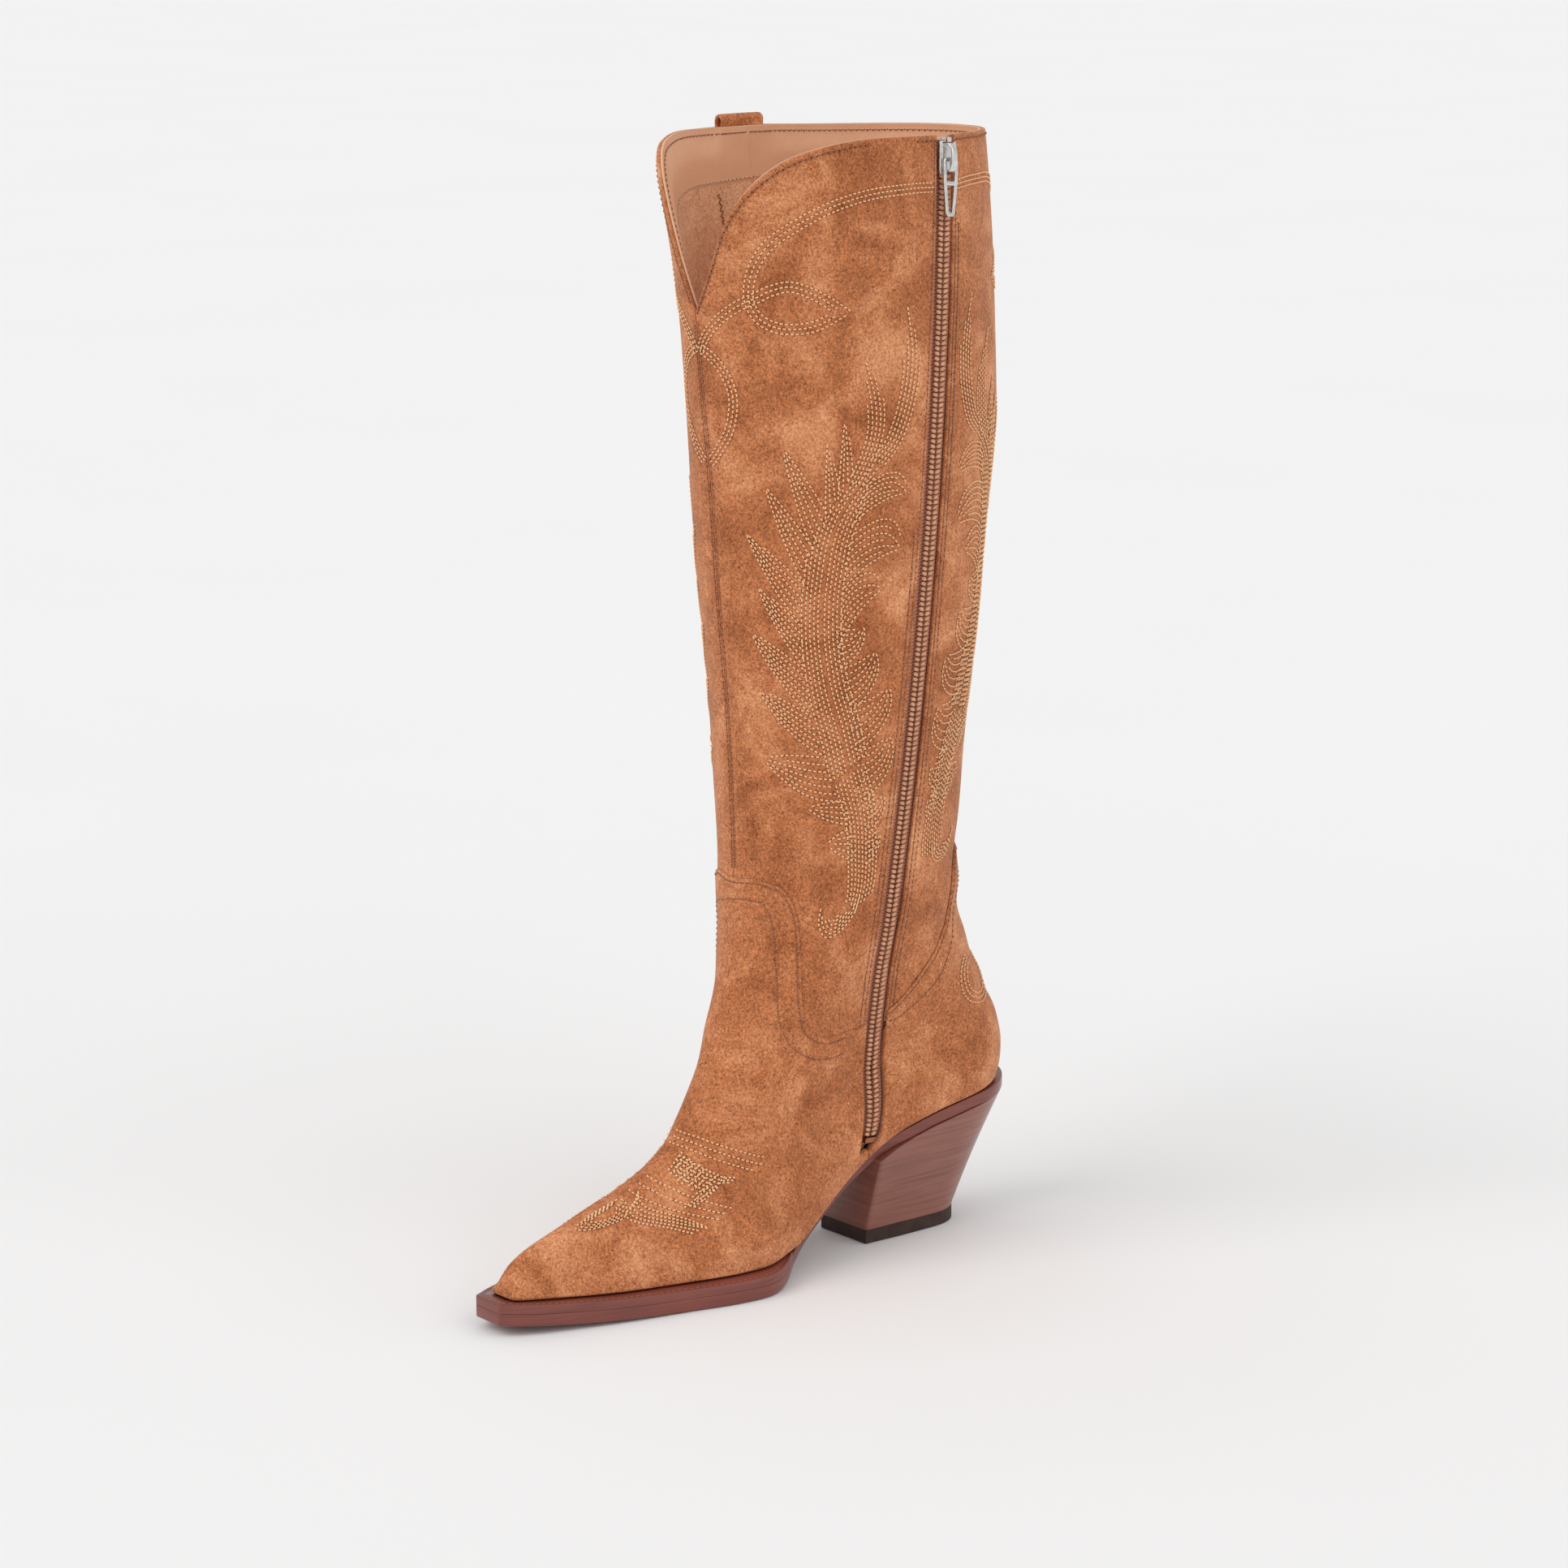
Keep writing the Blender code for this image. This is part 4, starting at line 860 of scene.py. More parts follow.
STOP = metal_look("lacquered_stop", (0.30, 0.12, 0.07), (0.42, 0.19, 0.11), 0.35)
TAPE = woven_look("zip_tape_weave", (0.30, 0.105, 0.060), (0.50, 0.205, 0.120))
GOLD_LOOK = thread_look("gold_thread", (0.86, 0.41, 0.180), (1.0, 0.66, 0.340))
BROWN_LOOK = thread_look("brown_thread", (0.20, 0.065, 0.030), (0.36, 0.130, 0.062))
PALE_LOOK = thread_look("pale_thread", (0.55, 0.33, 0.20), (0.82, 0.60, 0.42))
# painted shade: dark colour for the lenses that stand in for the shaded needle holes
HOLE_SHADE = leather_look("needle_hole", (0.11, 0.032, 0.014), (0.17, 0.052, 0.024), 0.9)
COIL = coil_look()
NICKEL = metal_look("nickel_plate", (0.58, 0.57, 0.55), (0.80, 0.79, 0.77), 0.20)
STEEL = metal_look("brushed_steel", (0.42, 0.42, 0.42), (0.62, 0.62, 0.62), 0.38, 0.3)
RUBBER = rubber_look()
BOARD = board_look()


# ---------------------------------------------------------------- seams and embroidery
def level(value):
    return lambda other: np.full_like(np.asarray(other, float), value)


def shifted(line, by):
    return lambda other: line(other) + by


def wrapped(line):
    """Let phi run on past pi, round the back to the outer side."""
    return lambda phi: line(np.where(np.asarray(phi) > math.pi, np.asarray(phi) - 2 * math.pi, phi))


S_MM = 1 / RISE         # about one millimetre up the surface
BACK_END = OUTER_SEAM + 2 * math.pi
SEAM_GAP = 0.0035       # in phi, from an upright seam to the edge of each panel


def upright_rows(thread, phi_at, low, high, **stitch):
    s = mix(low, high, np.linspace(0, 1, 400))
    row(thread, phi_at(s), s, **stitch)


FOXING_DEPTH = 0.9      # how far the vamp and the heel foxing stand proud of the shaft, in mm
SEAM_STITCH = {"pitch": 2.4, "radius": 0.25, "proud": -0.08, "hole": 0.33, "fill": 0.60}


def sew_seams():
    # both sides of the zip
    for shift, high in ((-6.8, 0.978), (-8.9, 0.62), (6.8, 0.978), (8.9, 0.90)):
        upright_rows(BROWN, zip_edge(shift), 0.012, high, **SEAM_STITCH)
    # double rows at the front seam, single rows at the outer seam
    for shift in (-0.026, 0.026):
        upright_rows(BROWN, level(shift), 0.345, 0.835, **SEAM_STITCH)
        upright_rows(BROWN, level(OUTER_SEAM + shift), 0.16, 0.975, **SEAM_STITCH)
    # round the rim
    for low, high in ((0.0, 1.46), (1.68, BACK_END), (OUTER_SEAM, 0.0)):
        phi = np.linspace(low + 0.03, high - 0.03, 500)
        row(BROWN, phi, wrapped(shifted(rim, -2.0 * S_MM))(phi),
            **{**SEAM_STITCH, "proud": 0.08, "hole": 0.42})
    # edge of the vamp and of the heel foxing, with a second row further in
    lines = []
    for first, last in ((OUTER_SEAM + 0.03, 1.44), (1.70, BACK_END - 0.03)):
        phi = np.linspace(first, last, 900)
        edge = np.stack([phi * ROUND, wrapped(foxing_top)(phi) * RISE], -1)
        lines.append(offset(edge, -1.5))
    lines.append(through([(-75, 50), (-69, 54), (-60, 61), (-50, 70), (-42, 76), (-34, 87),
                          (-27, 104), (-24, 118), (-19.5, 122.5), (-10, 124.8), (5, 127.2),
                          (14, 127), (19, 125.8), (23, 120), (25.5, 112), (27.5, 103), (34, 87),
                          (42, 76.5), (51, 69), (61, 61.5), (71, 55)], 700))
    lines.append(through([(86.5, 52), (90, 50.3), (98, 53), (106, 59), (112, 67), (117, 74),
                          (122, 84), (133, 94), (150, 97.5), (164, 97.5), (181, 94), (192, 84),
                          (197, 74), (202, 67), (208, 59), (216, 53), (224, 50.3), (236, 53)], 600))
    for line in lines:
        row(BROWN, line[:, 0] / ROUND, line[:, 1] / RISE, FOXING_DEPTH, **SEAM_STITCH)


def sew_vamp(side):
    """Toe stitching across the vamp: triple rows, a thick zigzag band and a curl."""
    def draw(points, **stitch):
        curve = through(points, 90)
        row(GOLD, side * curve[:, 0], curve[:, 1], FOXING_DEPTH,
            **{"radius": 0.31, "hole": 0.34, **stitch})

    for k in range(3):
        drop = 0.0047 * k
        draw([(0.02, 0.1185 - drop), (0.35, 0.1150 - drop), (0.70, 0.1050 - drop),
              (1.02, 0.0925 - drop)])
        draw([(0.10, 0.0865 - drop), (0.45, 0.0800 - drop), (0.80, 0.0690 - drop * 0.9),
              (1.13, 0.0560 - drop * 0.8)])
    bold = {"pitch": 1.7, "radius": 0.38, "fill": 0.76, "hole": 0.34}
    for k in range(6):
        drop = 0.0019 * k
        draw([(0.27 + 0.02 * k, 0.1015 - drop), (0.45, 0.0965 - drop), (0.65, 0.0895 - drop),
              (0.86, 0.0808 - drop)], **bold)
    for t in np.linspace(0, 1, 9):
        a, high = mix(0.30, 0.83, t), mix(0.1035, 0.0832, t ** 1.15)
        draw([(a, high), (a + 0.012, high - 0.006), (a + 0.04, high - 0.012),
              (a + 0.03, high - 0.0155)], **bold)
    for k in range(3):
        drop = 0.0018 * k
        draw([(0.83, 0.0812 - drop), (0.89, 0.0814 - drop), (0.94, 0.0792 - drop)], **bold)
        draw([(0.81 + 0.026 * k, 0.0760), (0.84 + 0.026 * k, 0.0680),
              (0.855 + 0.022 * k, 0.0605)], **bold)
    for k in range(5):
        drop = 0.0017 * k
        draw([(0.27 + 0.03 * k, 0.0765 - drop * 0.6), (0.55, 0.0655 - drop), (0.90, 0.0545 - drop),
              (1.13 - 0.02 * abs(k - 2), 0.0450 - drop * 0.8)], **bold)
    centre = np.array([0.345, 0.0608])
    curl = np.array([(0.202, 0.0700), (0.185, 0.0610), (0.235, 0.0528), (0.38, 0.0510),
                     (0.51, 0.0540), (0.545, 0.0580), (0.47, 0.0630), (0.33, 0.0685),
                     (0.202, 0.0700)])
    for grow in (1.0, 0.84, 0.68, 0.52):
        draw(centre + grow * (curl - centre), radius=0.30)


def sew_heel(side):
    """Small curl on the heel foxing."""
    for k in range(3):
        grow = 1 - 0.17 * k
        turn = np.linspace(0.1 * math.pi, 1.75 * math.pi, 50)
        phi = 2.56 + 0.26 * grow * np.sin(turn + 0.6)
        s = 0.122 + 0.030 * grow * np.cos(turn + 0.6)
        row(GOLD, side * phi, s, FOXING_DEPTH, pitch=2.0, radius=0.28, hole=0.30)


def sew_all():
    sew_seams()
    for side in (1, -1):
        for place in (on_front(side), on_back(side)):
            flame(place)
            loop_top(place)
        sew_vamp(side)
        sew_heel(side)


sew_all()
STITCH_TREE = kdtree.KDTree(len(needle))
for number, spot in enumerate(needle):
    STITCH_TREE.insert(spot, number)
STITCH_TREE.balance()
GOLD.build("embroidery_thread", GOLD_LOOK)
BROWN.build("seam_thread", BROWN_LOOK)


# ---------------------------------------------------------------- upper
LINING_LAYER, FACING_LAYER = (-4.6, -3.75), (-4.75, -3.75)      # depths of both faces, in mm


def closing(edge):
    """The zip's slot closes just below the bottom stop."""
    return lambda s: mix(ZIP_PHI(s) + 0.04 * (edge(s) - ZIP_PHI(s)), edge(s),
                         smoothstep(0.0105, 0.0165, s))


def make_upper():
    """Five suede panels, and the strips behind the two upright seams."""
    outer_half = level(OUTER_SEAM + SEAM_GAP), level(-SEAM_GAP)
    back_end = level(BACK_END - SEAM_GAP)
    tucked, hem = shifted(foxing_top, -5 * S_MM), level(0.0008)
    shaft, foxing = (-1.6, 0.0), (-1.6, FOXING_DEPTH)
    panel("suede_shaft_front_inner", shaft, (level(SEAM_GAP), FRONT_ZIP), (tucked, rim), SUEDE,
          under=4.6, slot="suede", replaces=["shaft_front_medial"])
    panel("suede_shaft_front_outer", shaft, outer_half, (tucked, rim), SUEDE, under=4.6,
          slot="suede", replaces=["shaft_front_lateral"])
    panel("suede_shaft_back", shaft, (BACK_ZIP, back_end), (wrapped(tucked), wrapped(rim)), SUEDE,
          under=4.6, slot="suede", replaces=["shaft_back"])
    panel("suede_vamp", foxing, (outer_half[0], closing(FRONT_ZIP)), (hem, foxing_top), SUEDE,
          lap=7.0, edge=0.8, slot="suede", replaces=["vamp"])
    panel("suede_heel_foxing", foxing, (closing(BACK_ZIP), back_end),
          (hem, wrapped(foxing_top)), SUEDE, lap=7.0, edge=0.8, slot="suede", replaces=["heel_foxing"])
    for name, phi, low, high in (("backing_front", 0.0, 0.30, 0.832),
                                 ("backing_outer", OUTER_SEAM, 0.01, 0.945)):
        panel(name, (-2.15, -1.7), (level(phi - 0.09), level(phi + 0.09)), (level(low), level(high)),
              FLESH, pitch=3.0, edge=0.2, sewn=False, slot="suede")


def inside_panels(gap):
    """Name and side edges of the three panels inside the leg, this gap (in phi) off the seams."""
    zip_front, zip_back = zip_edge(-7.0), zip_edge(7.0)
    return (("front_medial", (level(gap), zip_front)),
            ("front_lateral", (level(OUTER_SEAM + gap), level(-gap))),
            ("back", (zip_back, level(BACK_END - gap))))


def make_inside():
    ends = level(LINING_LOW), wrapped(shifted(facing_edge, 2 * S_MM))
    for where, sides in inside_panels(SEAM_GAP):
        panel(f"inner_lining_{where}", LINING_LAYER, sides, ends, FLESH, pitch=4.0, edge=0.3,
              sewn=False, slot="lining", replaces=[f"leg_lining_{where}"])
    for where, sides in inside_panels(0.0006):
        rolled_facing(sides, where)


def facing_lift(phi, s, v):
    """How far the facing has left the lining for the rim, at v of its height."""
    place = surface(phi, s)
    by_zip = smoothstep(8, 20, np.where(np.sin(phi) > 0, from_zip(place[..., 1], place[..., 2]), 99))
    by_loop = smoothstep(11.6, 17, np.where(np.sin(phi) < 0, np.abs(place[..., 1] - LOOP_Y), 99))
    return 2.0 * smoothstep(0.45, 0.97, v) * by_zip * by_loop


def rolled_facing(sides, where):
    """Leather facing that rises to meet the suede at the rim."""
    u = np.concatenate([[0, 0.0006, 0.002], np.linspace(0.008, 0.992, 86),
                        [0.998, 0.9994, 1]])[None, :]
    v = np.concatenate([[0, 0.01, 0.03, 0.06], np.linspace(0.1, 0.9, 18),
                        [0.95, 0.975, 0.99, 1.0]])[:, None]
    s = np.full((v.size, u.size), 0.9)
    for _ in range(12):
        phi = mix(sides[0](s), sides[1](s), u)
        s = mix(wrapped(facing_edge)(phi), wrapped(rim)(phi), v)
    lift = facing_lift(phi, s, v)
    edge = np.clip(0.035 - v, 0, 1) / 0.035 * 0.35 * np.ones_like(u)
    normal = outward(phi, s)
    flat = skin(phi, s, np.zeros_like(s))
    inner = flat + (FACING_LAYER[0] + lift + edge)[..., None] * normal
    outer = flat + (FACING_LAYER[1] + lift)[..., None] * normal
    shell(f"collar_facing_{where}", outer, inner, FACING, slot="collar_facing",
          replaces=[f"facing_{where}"])


def sew_inside():
    """Stitching on the facing's lower edge, under the rim and on the lining's side seam."""
    rows = {"pitch": 2.3, "radius": 0.30, "proud": 0.0, "pull": False, "hole": 0.42, "fill": 0.62}
    pale, dark = Thread(), Thread()
    for low, high in ((OUTER_SEAM, -0.02), (0.02, 1.66), (2.02, BACK_END)):
        phi = np.linspace(low, high, 500)
        s = wrapped(facing_edge)(phi) + 1.6 * S_MM
        pale.sew(skin(phi, s, np.full_like(phi, -4.85)), -outward(phi, s), **{**rows, "radius": 0.36})
    for low, high in ((OUTER_SEAM + 0.01, -0.03), (0.03, 1.60), (2.10, BACK_END - 0.01)):
        phi = np.linspace(low, high, 500)
        s = wrapped(rim)(phi) - 2.4 * S_MM
        v = (s - wrapped(facing_edge)(phi)) / (wrapped(rim)(phi) - wrapped(facing_edge)(phi))
        depth = -4.85 + facing_lift(phi, s, v)
        dark.sew(skin(phi, s, depth), -outward(phi, s), **rows)
    s = np.linspace(0.45, facing_edge(OUTER_SEAM + 0.28) - 2 * S_MM, 320)
    phi = OUTER_SEAM + 0.28 + 0.007 * np.where(np.arange(320) % 4 < 2, 1, -1)
    dark.sew(skin(phi, s, np.full_like(s, -4.75)), -outward(phi, s), **{**rows, "pitch": 1.6})
    pale.build("facing_thread", PALE_LOOK)
    dark.build("rim_thread_inside", BROWN_LOOK)


LOOP_Y = surface(OUTER_SEAM, rim(OUTER_SEAM))[1]
make_upper()
make_inside()
sew_inside()


# ---------------------------------------------------------------- zip
COIL_PITCH = 2.0


def make_coil():
    """Two rows of slanted coil turns."""
    heights = np.arange(CHAIN_LOW + COIL_PITCH / 2, CHAIN_HIGH, COIL_PITCH)
    frames = [zip_frame(z) for z in heights]
    turn = np.linspace(0, 2 * math.pi, 11)[:-1]
    levels = np.linspace(-1, 1, 7)
    for name, side in (("front", -1), ("rear", 1)):
        points, faces = [], []
        for middle, across, out in frames:
            along = np.cross(out, across)
            long_axis = across * side + 0.34 * along
            long_axis /= np.linalg.norm(long_axis)
            short_axis = np.cross(out, long_axis)
            centre = middle + side * 1.74 * across - 0.55 * out
            first = len(points)
            for t in levels:
                girth = math.sqrt(max(1 - abs(t) ** 2.6, 0.02))
                for a in turn:
                    off = 0.82 * math.cos(a) * short_axis + 0.68 * math.sin(a) * out
                    points.append(centre + 1.36 * t * long_axis + girth * off)
            faces += grid_faces(len(levels), len(turn), first, closed=True)
            faces += end_faces(len(turn), first, first + (len(levels) - 1) * len(turn))
        add_mesh(f"coil_turns_{name}", points, faces, COIL, slot="zip_coil",
                 replaces=[f"zip_coil_{name}"])


def make_tape_borders():
    """Woven border of each tape, between the chain and the leather's cut edge."""
    frames = np.array([zip_frame(z) for z in np.arange(50.0, 449.0, 2.0)])
    middle, across, out = (frames[:, k][:, None, :] for k in range(3))
    for name, low, high in (("front", -5.25, -3.35), ("rear", 3.35, 5.25)):
        x = np.linspace(low, high, 9)[None, :, None]
        crown = 1 - (2 * (x - low) / (high - low) - 1) ** 4
        place = middle + x * across - x ** 2 / 90 * out
        shell(f"tape_border_{name}", place + (0.25 * crown - 1.42) * out, place - 1.62 * out, TAPE)


make_coil()
make_tape_borders()


# ---------------------------------------------------------------- sole and heel
INNER_SOLE = smooth([(0, 7.8), (11, 13.8), (25, 18.8), (47, 25.6), (76, 32.6), (98, 38.0),
                     (108, 39.0), (116, 37.4), (124, 33.2), (132, 27.0), (140, 22.6), (152, 19.8),
                     (166, 19.0), (182, 20.4), (196, 24.0), (214, 26.2), (262, 26.8)])
OUTER_SOLE = smooth([(0, 7.8), (11, 14.2), (25, 20.4), (47, 29.0), (76, 37.6), (98, 43.6),
                     (112, 44.6), (122, 42.0), (132, 36.4), (142, 31.2), (156, 27.2), (176, 24.4),
                     (190, 25.0), (214, 26.4), (262, 26.8)])
SEAT_BACK, SEAT_ROUND = 261.0, 28.0
SNIP_ROUND, LOW_ROUND, HIGH_ROUND = 0.9, 0.8, 0.5      # radii of the sole's corners and edges


def rounded(half):
    """Half width of the sole, with its snip corners eased and its seat rounded off."""
    def at(y):
        wide = half(y) * np.maximum(round_off((SEAT_BACK - y) / SEAT_ROUND), 0.02)
        return wide - SNIP_ROUND * (1 - round_off(y / SNIP_ROUND))
    return at


SOLE_HALVES = rounded(INNER_SOLE), rounded(OUTER_SOLE)


def sides_of(inner, outer, y):
    """Points (x, y) along the inner side and back along the outer side."""
    return np.concatenate([np.stack([inner, y], -1), np.stack([-outer, y], -1)[::-1]])


def cross_faces(pairs, count, last):
    """Quads from side to side, under the first ring of an outline and over the last."""
    faces = []
    for i in range(pairs):
        a, b, c, d = i, i + 1, count - 2 - i, count - 1 - i
        faces += [(d, c, b, a), (last + a, last + b, last + c, last + d)]
    return faces


def sole_top(y):
    return SOLE_BOTTOM(y) + OUTSOLE


def make_sole():
    """Outsole with rounded edges."""
    seat = SEAT_BACK - SEAT_ROUND
    y = np.concatenate([[0, 0.05, 0.2, 0.5, 0.9], np.linspace(1.6, seat, 150),
                        seat + SEAT_ROUND * np.sin(np.linspace(0.03, math.pi / 2, 24))])
    outline = sides_of(SOLE_HALVES[0](y), SOLE_HALVES[1](y), y)
    ahead = np.roll(outline, -1, 0) - np.roll(outline, 1, 0)
    normal = np.stack([ahead[:, 1], -ahead[:, 0]], -1)
    normal /= np.linalg.norm(normal, axis=1, keepdims=True)
    quarter = np.linspace(0, math.pi / 2, 4)
    low, high = SOLE_BOTTOM(outline[:, 1]), sole_top(outline[:, 1])
    rings = []
    for a in quarter:
        plan = outline - LOW_ROUND * (1 - math.sin(a)) * normal
        rings.append(np.column_stack([plan, low + LOW_ROUND * (1 - math.cos(a))]))
    for a in quarter:
        plan = outline - HIGH_ROUND * (1 - math.cos(a)) * normal
        rings.append(np.column_stack([plan, high - HIGH_ROUND * (1 - math.sin(a))]))
    count = len(outline)
    faces = grid_faces(len(rings), count, closed=True)
    faces += cross_faces(len(y) - 1, count, (len(rings) - 1) * count)
    add_mesh("sole_leather", np.concatenate(rings), faces, SOLE, sharp=50,
             slot="stacked_leather", replaces=["outsole"])


WELT_END, WELT_TUCK = 131.0, 3.6        # where its arms end, and its width beneath the upper
GROOVE_INSET = 1.7


def make_welt():
    """Horseshoe strip round the forepart, with a stitched groove on its ledge."""
    run = np.concatenate([np.linspace(WELT_END, 2.0, 110), [0.9, 0.5, 0.2, 0.05, 0.0]])
    edge = sides_of(SOLE_HALVES[0](run), SOLE_HALVES[1](run), run)
    lip_y = np.maximum(run, 7.0)
    lip = sides_of(INNER_FOOT(lip_y) - WELT_TUCK, OUTER_FOOT(lip_y) - WELT_TUCK, lip_y)
    inward = lip - edge
    length = np.linalg.norm(inward, axis=1, keepdims=True)
    inward = inward / length

    def top(y):
        return sole_top(y) + WELT_THICKNESS(y)
    # inset, height off the welt's top or off the sole, and which of the two; the dip is the groove
    sections = [(0.0, 0.03, 0), (0.0, -0.5, 1), (0.12, -0.2, 1), (0.5, 0.0, 1), (1.3, 0.0, 1),
                (GROOVE_INSET, -0.25, 1), (2.1, 0.0, 1)]
    rings = []
    for inset, rise, is_top in sections:
        plan = edge + np.minimum(inset, length * 0.6) * inward
        base = top(edge[:, 1]) if is_top else sole_top(edge[:, 1])
        rings.append(np.column_stack([plan, base + rise]))
    rings.append(np.column_stack([lip, top(lip[:, 1])]))
    rings.append(np.column_stack([lip, sole_top(lip[:, 1]) + 0.03]))
    points = np.concatenate(rings)
    count = len(edge)
    faces = []
    for r in range(len(rings)):
        for c in range(count - 1):
            a, b = r * count + c, r * count + c + 1
            d = ((r + 1) % len(rings)) * count
            faces.append((a, b, d + c + 1, d + c))
    faces.append(tuple(r * count for r in range(len(rings))))
    faces.append(tuple(r * count + count - 1 for r in range(len(rings) - 1, -1, -1)))
    add_mesh("welt_strip", points, faces, WELT_TOP, slot="stacked_leather", replaces=["welt"],
             sharp=45)
    thread = Thread()
    seat = edge + np.minimum(GROOVE_INSET, length * 0.6) * inward
    line = np.column_stack([seat, top(edge[:, 1]) - 0.15])
    keep = line[:, 1] < 118
    thread.sew(line[keep], np.tile([0, 0, 1.0], (keep.sum(), 1)), pitch=2.6, radius=0.26,
               proud=-0.05, pull=False)
    thread.build("welt_thread", BROWN_LOOK)


HEEL_BREAST, HEEL_MIDDLE_SHARE = 182.0, 1.15
HEEL_BACK = (236.5, 260.0)              # at the ground and at the seat
HOLLOW_BACK, HOLLOW_SIDE, BREAST_ROUND = 0.9, 0.5, 1.2


def heel_half(y, t):
    """Half width of the heel at y, a fraction t of the way from the ground to the seat."""
    back, half = mix(*HEEL_BACK, t), mix(15.2, 27.2, t)
    middle = back - half * HEEL_MIDDLE_SHARE
    front = mix(0.93, 0.86, t)
    side = mix(front, 1.0, smoothstep(HEEL_BREAST - 6, middle, y) ** 0.8)
    reach = np.clip((y - middle) / (back - middle), 0, 1)
    return half * side * np.clip(1 - reach ** 2, 0, 1) ** 0.42


def make_heel():
    """Stacked heel that leans forward from the seat, slightly hollow down its back."""
    levels = np.linspace(0, 1, 26)
    across = np.concatenate([[0, 0.004, 0.015, 0.035], np.linspace(0.06, 0.93, 22),
                             1 - 0.07 * (1 - np.sin(np.linspace(0.1, math.pi / 2, 12)))])
    low = TIP_HEIGHT + 0.12
    points = []
    for t in levels:
        hollow = math.sin(math.pi * t)
        y = mix(HEEL_BREAST, mix(*HEEL_BACK, t) - HOLLOW_BACK * hollow, across)
        fillet = BREAST_ROUND * (1 - round_off((y - HEEL_BREAST) / BREAST_ROUND))
        half = heel_half(y + HOLLOW_BACK * hollow, t) - fillet - HOLLOW_SIDE * hollow
        half = np.maximum(half, 0.0)
        z = mix(low, SOLE_BOTTOM(y) - 0.06, t)
        points += [np.column_stack([half, y, z]), np.column_stack([-half, y, z])[::-1][1:]]
    count = 2 * len(across) - 1
    points = np.concatenate(points)
    faces = grid_faces(len(levels), count, closed=True)
    last = (len(levels) - 1) * count
    n = len(across)
    faces += cross_faces(n - 2, count, last)
    faces += [(n, n - 1, n - 2), (last + n - 2, last + n - 1, last + n)]
    add_mesh("heel_stack", points, faces, HEEL, slot="stacked_leather",
             replaces=["heel_block"], sharp=50)


make_sole()
make_welt()
make_heel()


# ---------------------------------------------------------------- pull loop
LOOP_HALF_WIDTH, LOOP_THICKNESS = 11.0, 1.5
LOOP_OUTER, LOOP_INNER, LOOP_CROWN = 1.75, -3.3, 4.7
LOOP_REACH, LOOP_TUCK = 24.0, 8.0


def loop_point(along, out, up):
    """Point of the strap: along the rim rearwards, out from the leather and up from the rim."""
    top = surface(OUTER_SEAM, rim(OUTER_SEAM))
    z, y = top[2] + up, top[1] + along
    level_up = (z - feather(y)) / (TOP_PLANE - feather(y))
    front, back = FRONT_Y(level_up), BACK_Y(level_up)
    phi = -np.arccos(1 - 2 * (y - front) / (back - front))
    return surface(phi, level_up) + out * outward(OUTER_SEAM, rim(OUTER_SEAM))


def flattened(value, power):
    """Sine or cosine of a turn, drawn out so that the round section nears a box."""
    return math.copysign(abs(value) ** power, value)


def make_loop():
    """Suede strap over the rim at the outer seam, with soft edges and its stitching."""
    middle = (LOOP_OUTER + LOOP_INNER) / 2
    radius = (LOOP_OUTER - LOOP_INNER - LOOP_THICKNESS) / 2
    spring = LOOP_CROWN - radius - LOOP_THICKNESS / 2
    spine = [(middle + radius, z, 1.0, 0.0) for z in np.linspace(-LOOP_REACH, spring, 22)]
    spine += [(middle + radius * math.cos(a), spring + radius * math.sin(a), math.cos(a), math.sin(a))
              for a in np.linspace(0, math.pi, 24)[1:-1]]
    spine += [(middle - radius, z, -1.0, 0.0) for z in np.linspace(spring, -LOOP_TUCK, 10)]
    points = []
    turn = np.linspace(0, 2 * math.pi, 33)[:-1]
    for out, up, face_out, face_up in spine:
        for a in turn:
            across = flattened(math.cos(a), 0.14) * LOOP_HALF_WIDTH
            thick = flattened(math.sin(a), 0.6) * LOOP_THICKNESS / 2
            points.append(loop_point(across, out + thick * face_out, up + thick * face_up))
    faces = grid_faces(len(spine), len(turn), closed=True)
    faces += end_faces(len(turn), 0, (len(spine) - 1) * len(turn))
    add_mesh("pull_strap", points, faces, SUEDE, slot="suede", replaces=["pull_loop"])
    thread = Thread()
    seen = [place for place in spine if place[2] > -0.3]
    normals = np.array([(-face_out, 0, face_up) for _, _, face_out, face_up in seen], float)
    for across in (1.6 - LOOP_HALF_WIDTH, LOOP_HALF_WIDTH - 1.6):
        line = np.array([loop_point(across, out + 0.6 * face_out, up + 0.6 * face_up)
                         for out, up, face_out, face_up in seen])
        thread.sew(line, normals, pitch=2.2, radius=0.22, proud=-0.08, pull=False, hole=0.3)
    thread.build("strap_thread", BROWN_LOOK)


make_loop()


# ---------------------------------------------------------------- slider and puller
BAR_SIDES = 16


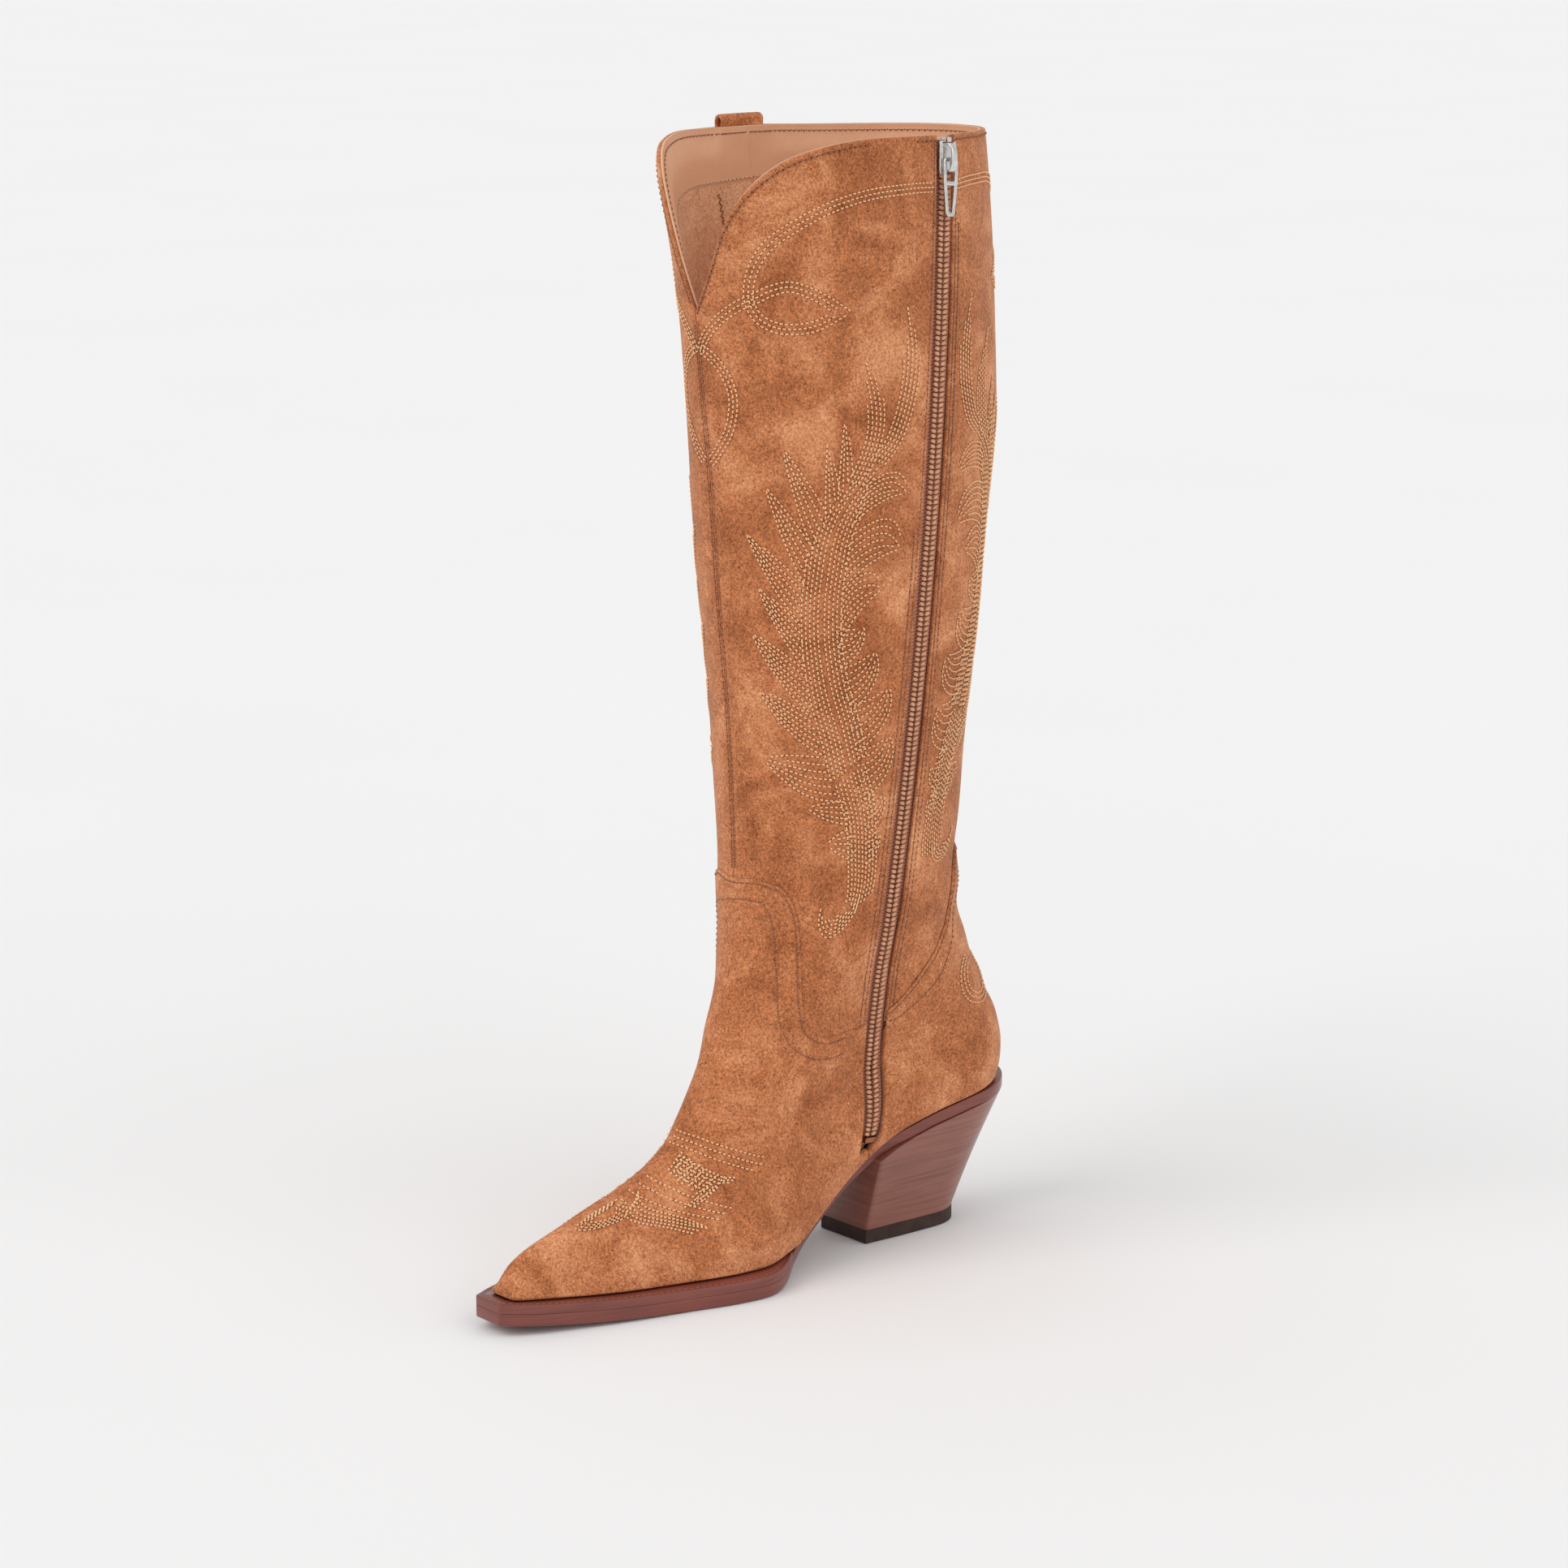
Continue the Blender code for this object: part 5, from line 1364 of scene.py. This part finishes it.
def bar(points, section, ups, name, body, closed=False, **facts):
    """Rounded bar along a path of points, with its section (half width, half height)."""
    points, ups = np.array(points), np.array(ups)
    ahead = np.roll(points, -1, 0) - np.roll(points, 1, 0)
    if not closed:
        ahead[0], ahead[-1] = points[1] - points[0], points[-1] - points[-2]
    across = np.cross(ahead, ups)
    across /= np.linalg.norm(across, axis=1, keepdims=True)
    turn = np.linspace(0, 2 * math.pi, BAR_SIDES + 1)[:-1]
    rings = np.stack([points + section[0] * flattened(math.cos(a), 0.55) * across
                      + section[1] * flattened(math.sin(a), 0.55) * ups for a in turn], 1)
    faces = grid_faces(len(points), BAR_SIDES, closed=True)
    last = (len(points) - 1) * BAR_SIDES
    if closed:
        ring = [(k, (k + 1) % BAR_SIDES) for k in range(BAR_SIDES)]
        faces += [(last + a, last + b, b, a) for a, b in ring]
    else:
        faces += end_faces(BAR_SIDES, 0, last)
    return add_mesh(name, rings.reshape(-1, 3), faces, NICKEL, body=body, sharp=60, **facts)


def make_puller():
    """Open frame of rounded bar with a tie bar, hung under the slider's arched crown."""
    middle, across, out = zip_frame(SLIDER_HEIGHT)
    along = np.cross(out, across)
    pivot = middle + PULLER_PIVOT[0] * along + PULLER_PIVOT[1] * out

    def put(outline):
        return [pivot + x * across + y * along for x, y in outline]

    corners = [(-3.1, -0.4), (-2.4, 0.0), (2.4, 0.0), (3.1, -0.4), (3.2, -4.8), (3.05, -8.5),
               (1.75, -20.3), (1.15, -21.1), (-1.15, -21.1), (-1.75, -20.3), (-3.05, -8.5),
               (-3.2, -4.8)]
    outline = [mix(np.array(a), np.array(b), u) for a, b in zip(corners, corners[1:] + corners[:1])
               for u in np.linspace(0, 1, 6)[:-1]]
    bar(put(outline), (0.84, 0.50), [out] * len(outline), "pull_frame", "puller", closed=True,
        slot="nickel", replaces=["puller"])
    tie = [(x, -9.2) for x in np.linspace(-2.6, 2.6, 8)]
    bar(put(tie), (0.85, 0.42), [out] * 8, "pull_tie", "puller")


def make_slider():
    """Rounded rails along the slider's plate and the arched crown over the puller's bar."""
    middle, across, out = zip_frame(SLIDER_HEIGHT)
    along = np.cross(out, across)

    def at(x, y, z):
        return middle + x * across + y * along + z * out

    for name, side in (("front", -1), ("rear", 1)):
        rail = through([(3.5, -6.2), (4.1, -4.6), (4.1, 0.0), (4.1, 4.6), (3.5, 6.2)], 24)
        bar([at(side * x, y, 0.75) for x, y in rail], (0.62, 0.62), [out] * len(rail),
            f"slider_rail_{name}", "slider")
    arch = through([(-5.3, 1.1), (-5.2, 2.4), (-4.2, 3.7), (-2.2, 4.35), (0, 4.45), (2.2, 4.35),
                    (4.2, 3.7), (5.2, 2.4), (5.3, 1.1)], 48)
    slope = np.gradient(arch, axis=0)
    ups = [dx * out - dz * along for dx, dz in slope / np.linalg.norm(slope, axis=1, keepdims=True)]
    bar([at(0, y, z) for y, z in arch], (1.55, 0.46), ups, "slider_arch", "slider", slot="nickel",
        replaces=["slider_crown"])


make_puller()
make_slider()

# ---------------------------------------------------------------- finishes of the carried-over CAD nodes
finishes = {"vamp_lining": FLESH, "heel_lining": FLESH, "zip_guard": FLESH, "sock_lining": FACING,
            "heel_tip": RUBBER, "zip_tape_front": TAPE, "zip_tape_rear": TAPE, "slider_body": NICKEL,
            "top_stop_front": NICKEL, "top_stop_rear": NICKEL, "bottom_stop": STOP}
for node in ("toe_puff", "heel_stiffener", "insole_board", "heel_cushion", "forepart_filler"):
    finishes[node] = BOARD
for node in ("shank", "heel_screw", *(f"heel_nail_{n}" for n in (1, 2, 3, 4)),
             "top_piece_dowel_1", "top_piece_dowel_2"):
    finishes[node] = STEEL
for node, finish in finishes.items():
    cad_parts[node].data.materials.clear()
    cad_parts[node].data.materials.append(finish)
for node, width in (("heel_tip", 0.5), ("slider_body", 0.25)):
    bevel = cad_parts[node].modifiers.new("eased_edges", 'BEVEL')
    bevel.width = width * MM
    bevel.segments = 3
    bevel.limit_method = 'ANGLE'
    bevel.angle_limit = math.radians(30)


# ---------------------------------------------------------------- stage, light and camera
scene = bpy.context.scene
scene.view_settings.view_transform = 'Standard'


def make_floor():
    mesh = bpy.data.meshes.new("floor")
    mesh.from_pydata([(-40, -40, 0), (40, -40, 0), (40, 40, 0), (-40, 40, 0)], [], [(0, 1, 2, 3)])
    look = Look("floor_paper", 0.95, Specular_IOR_Level=0.1)
    look.colour(look.ramp(look.noise(400.0), (0.3, (0.93, 0.93, 0.93)), (0.7, (0.94, 0.94, 0.94))))
    mesh.materials.append(look.material)
    floor = bpy.data.objects.new("floor", mesh)
    floor.location.z = -0.0003
    scene.collection.objects.link(floor)


def make_light():
    world = bpy.data.worlds.new("studio")
    scene.world = world
    world.use_nodes = True
    back = world.node_tree.nodes["Background"]
    back.inputs["Color"].default_value = (1.0, 1.0, 1.0, 1.0)
    back.inputs["Strength"].default_value = 0.70
    for name, energy, softness, turn in (("key", 0.9, 40, (48, 0, -8)),
                                         ("fill", 0.42, 60, (60, 0, 100))):
        light = bpy.data.lights.new(name, 'SUN')
        light.energy = energy
        light.angle = math.radians(softness)
        lamp = bpy.data.objects.new(name, light)
        lamp.rotation_euler = [math.radians(a) for a in turn]
        scene.collection.objects.link(lamp)


def make_camera():
    camera = bpy.data.objects.new("camera", bpy.data.cameras.new("camera"))
    camera.location = (1.2932, -1.0722, 0.5739)
    camera.rotation_euler = (math.radians(77.4), 0.0, math.radians(49.83))
    camera.data.lens = 99.9
    camera.data.sensor_width = 36.0
    camera.data.clip_end = 200.0
    scene.collection.objects.link(camera)
    scene.camera = camera


make_floor()
make_light()
make_camera()
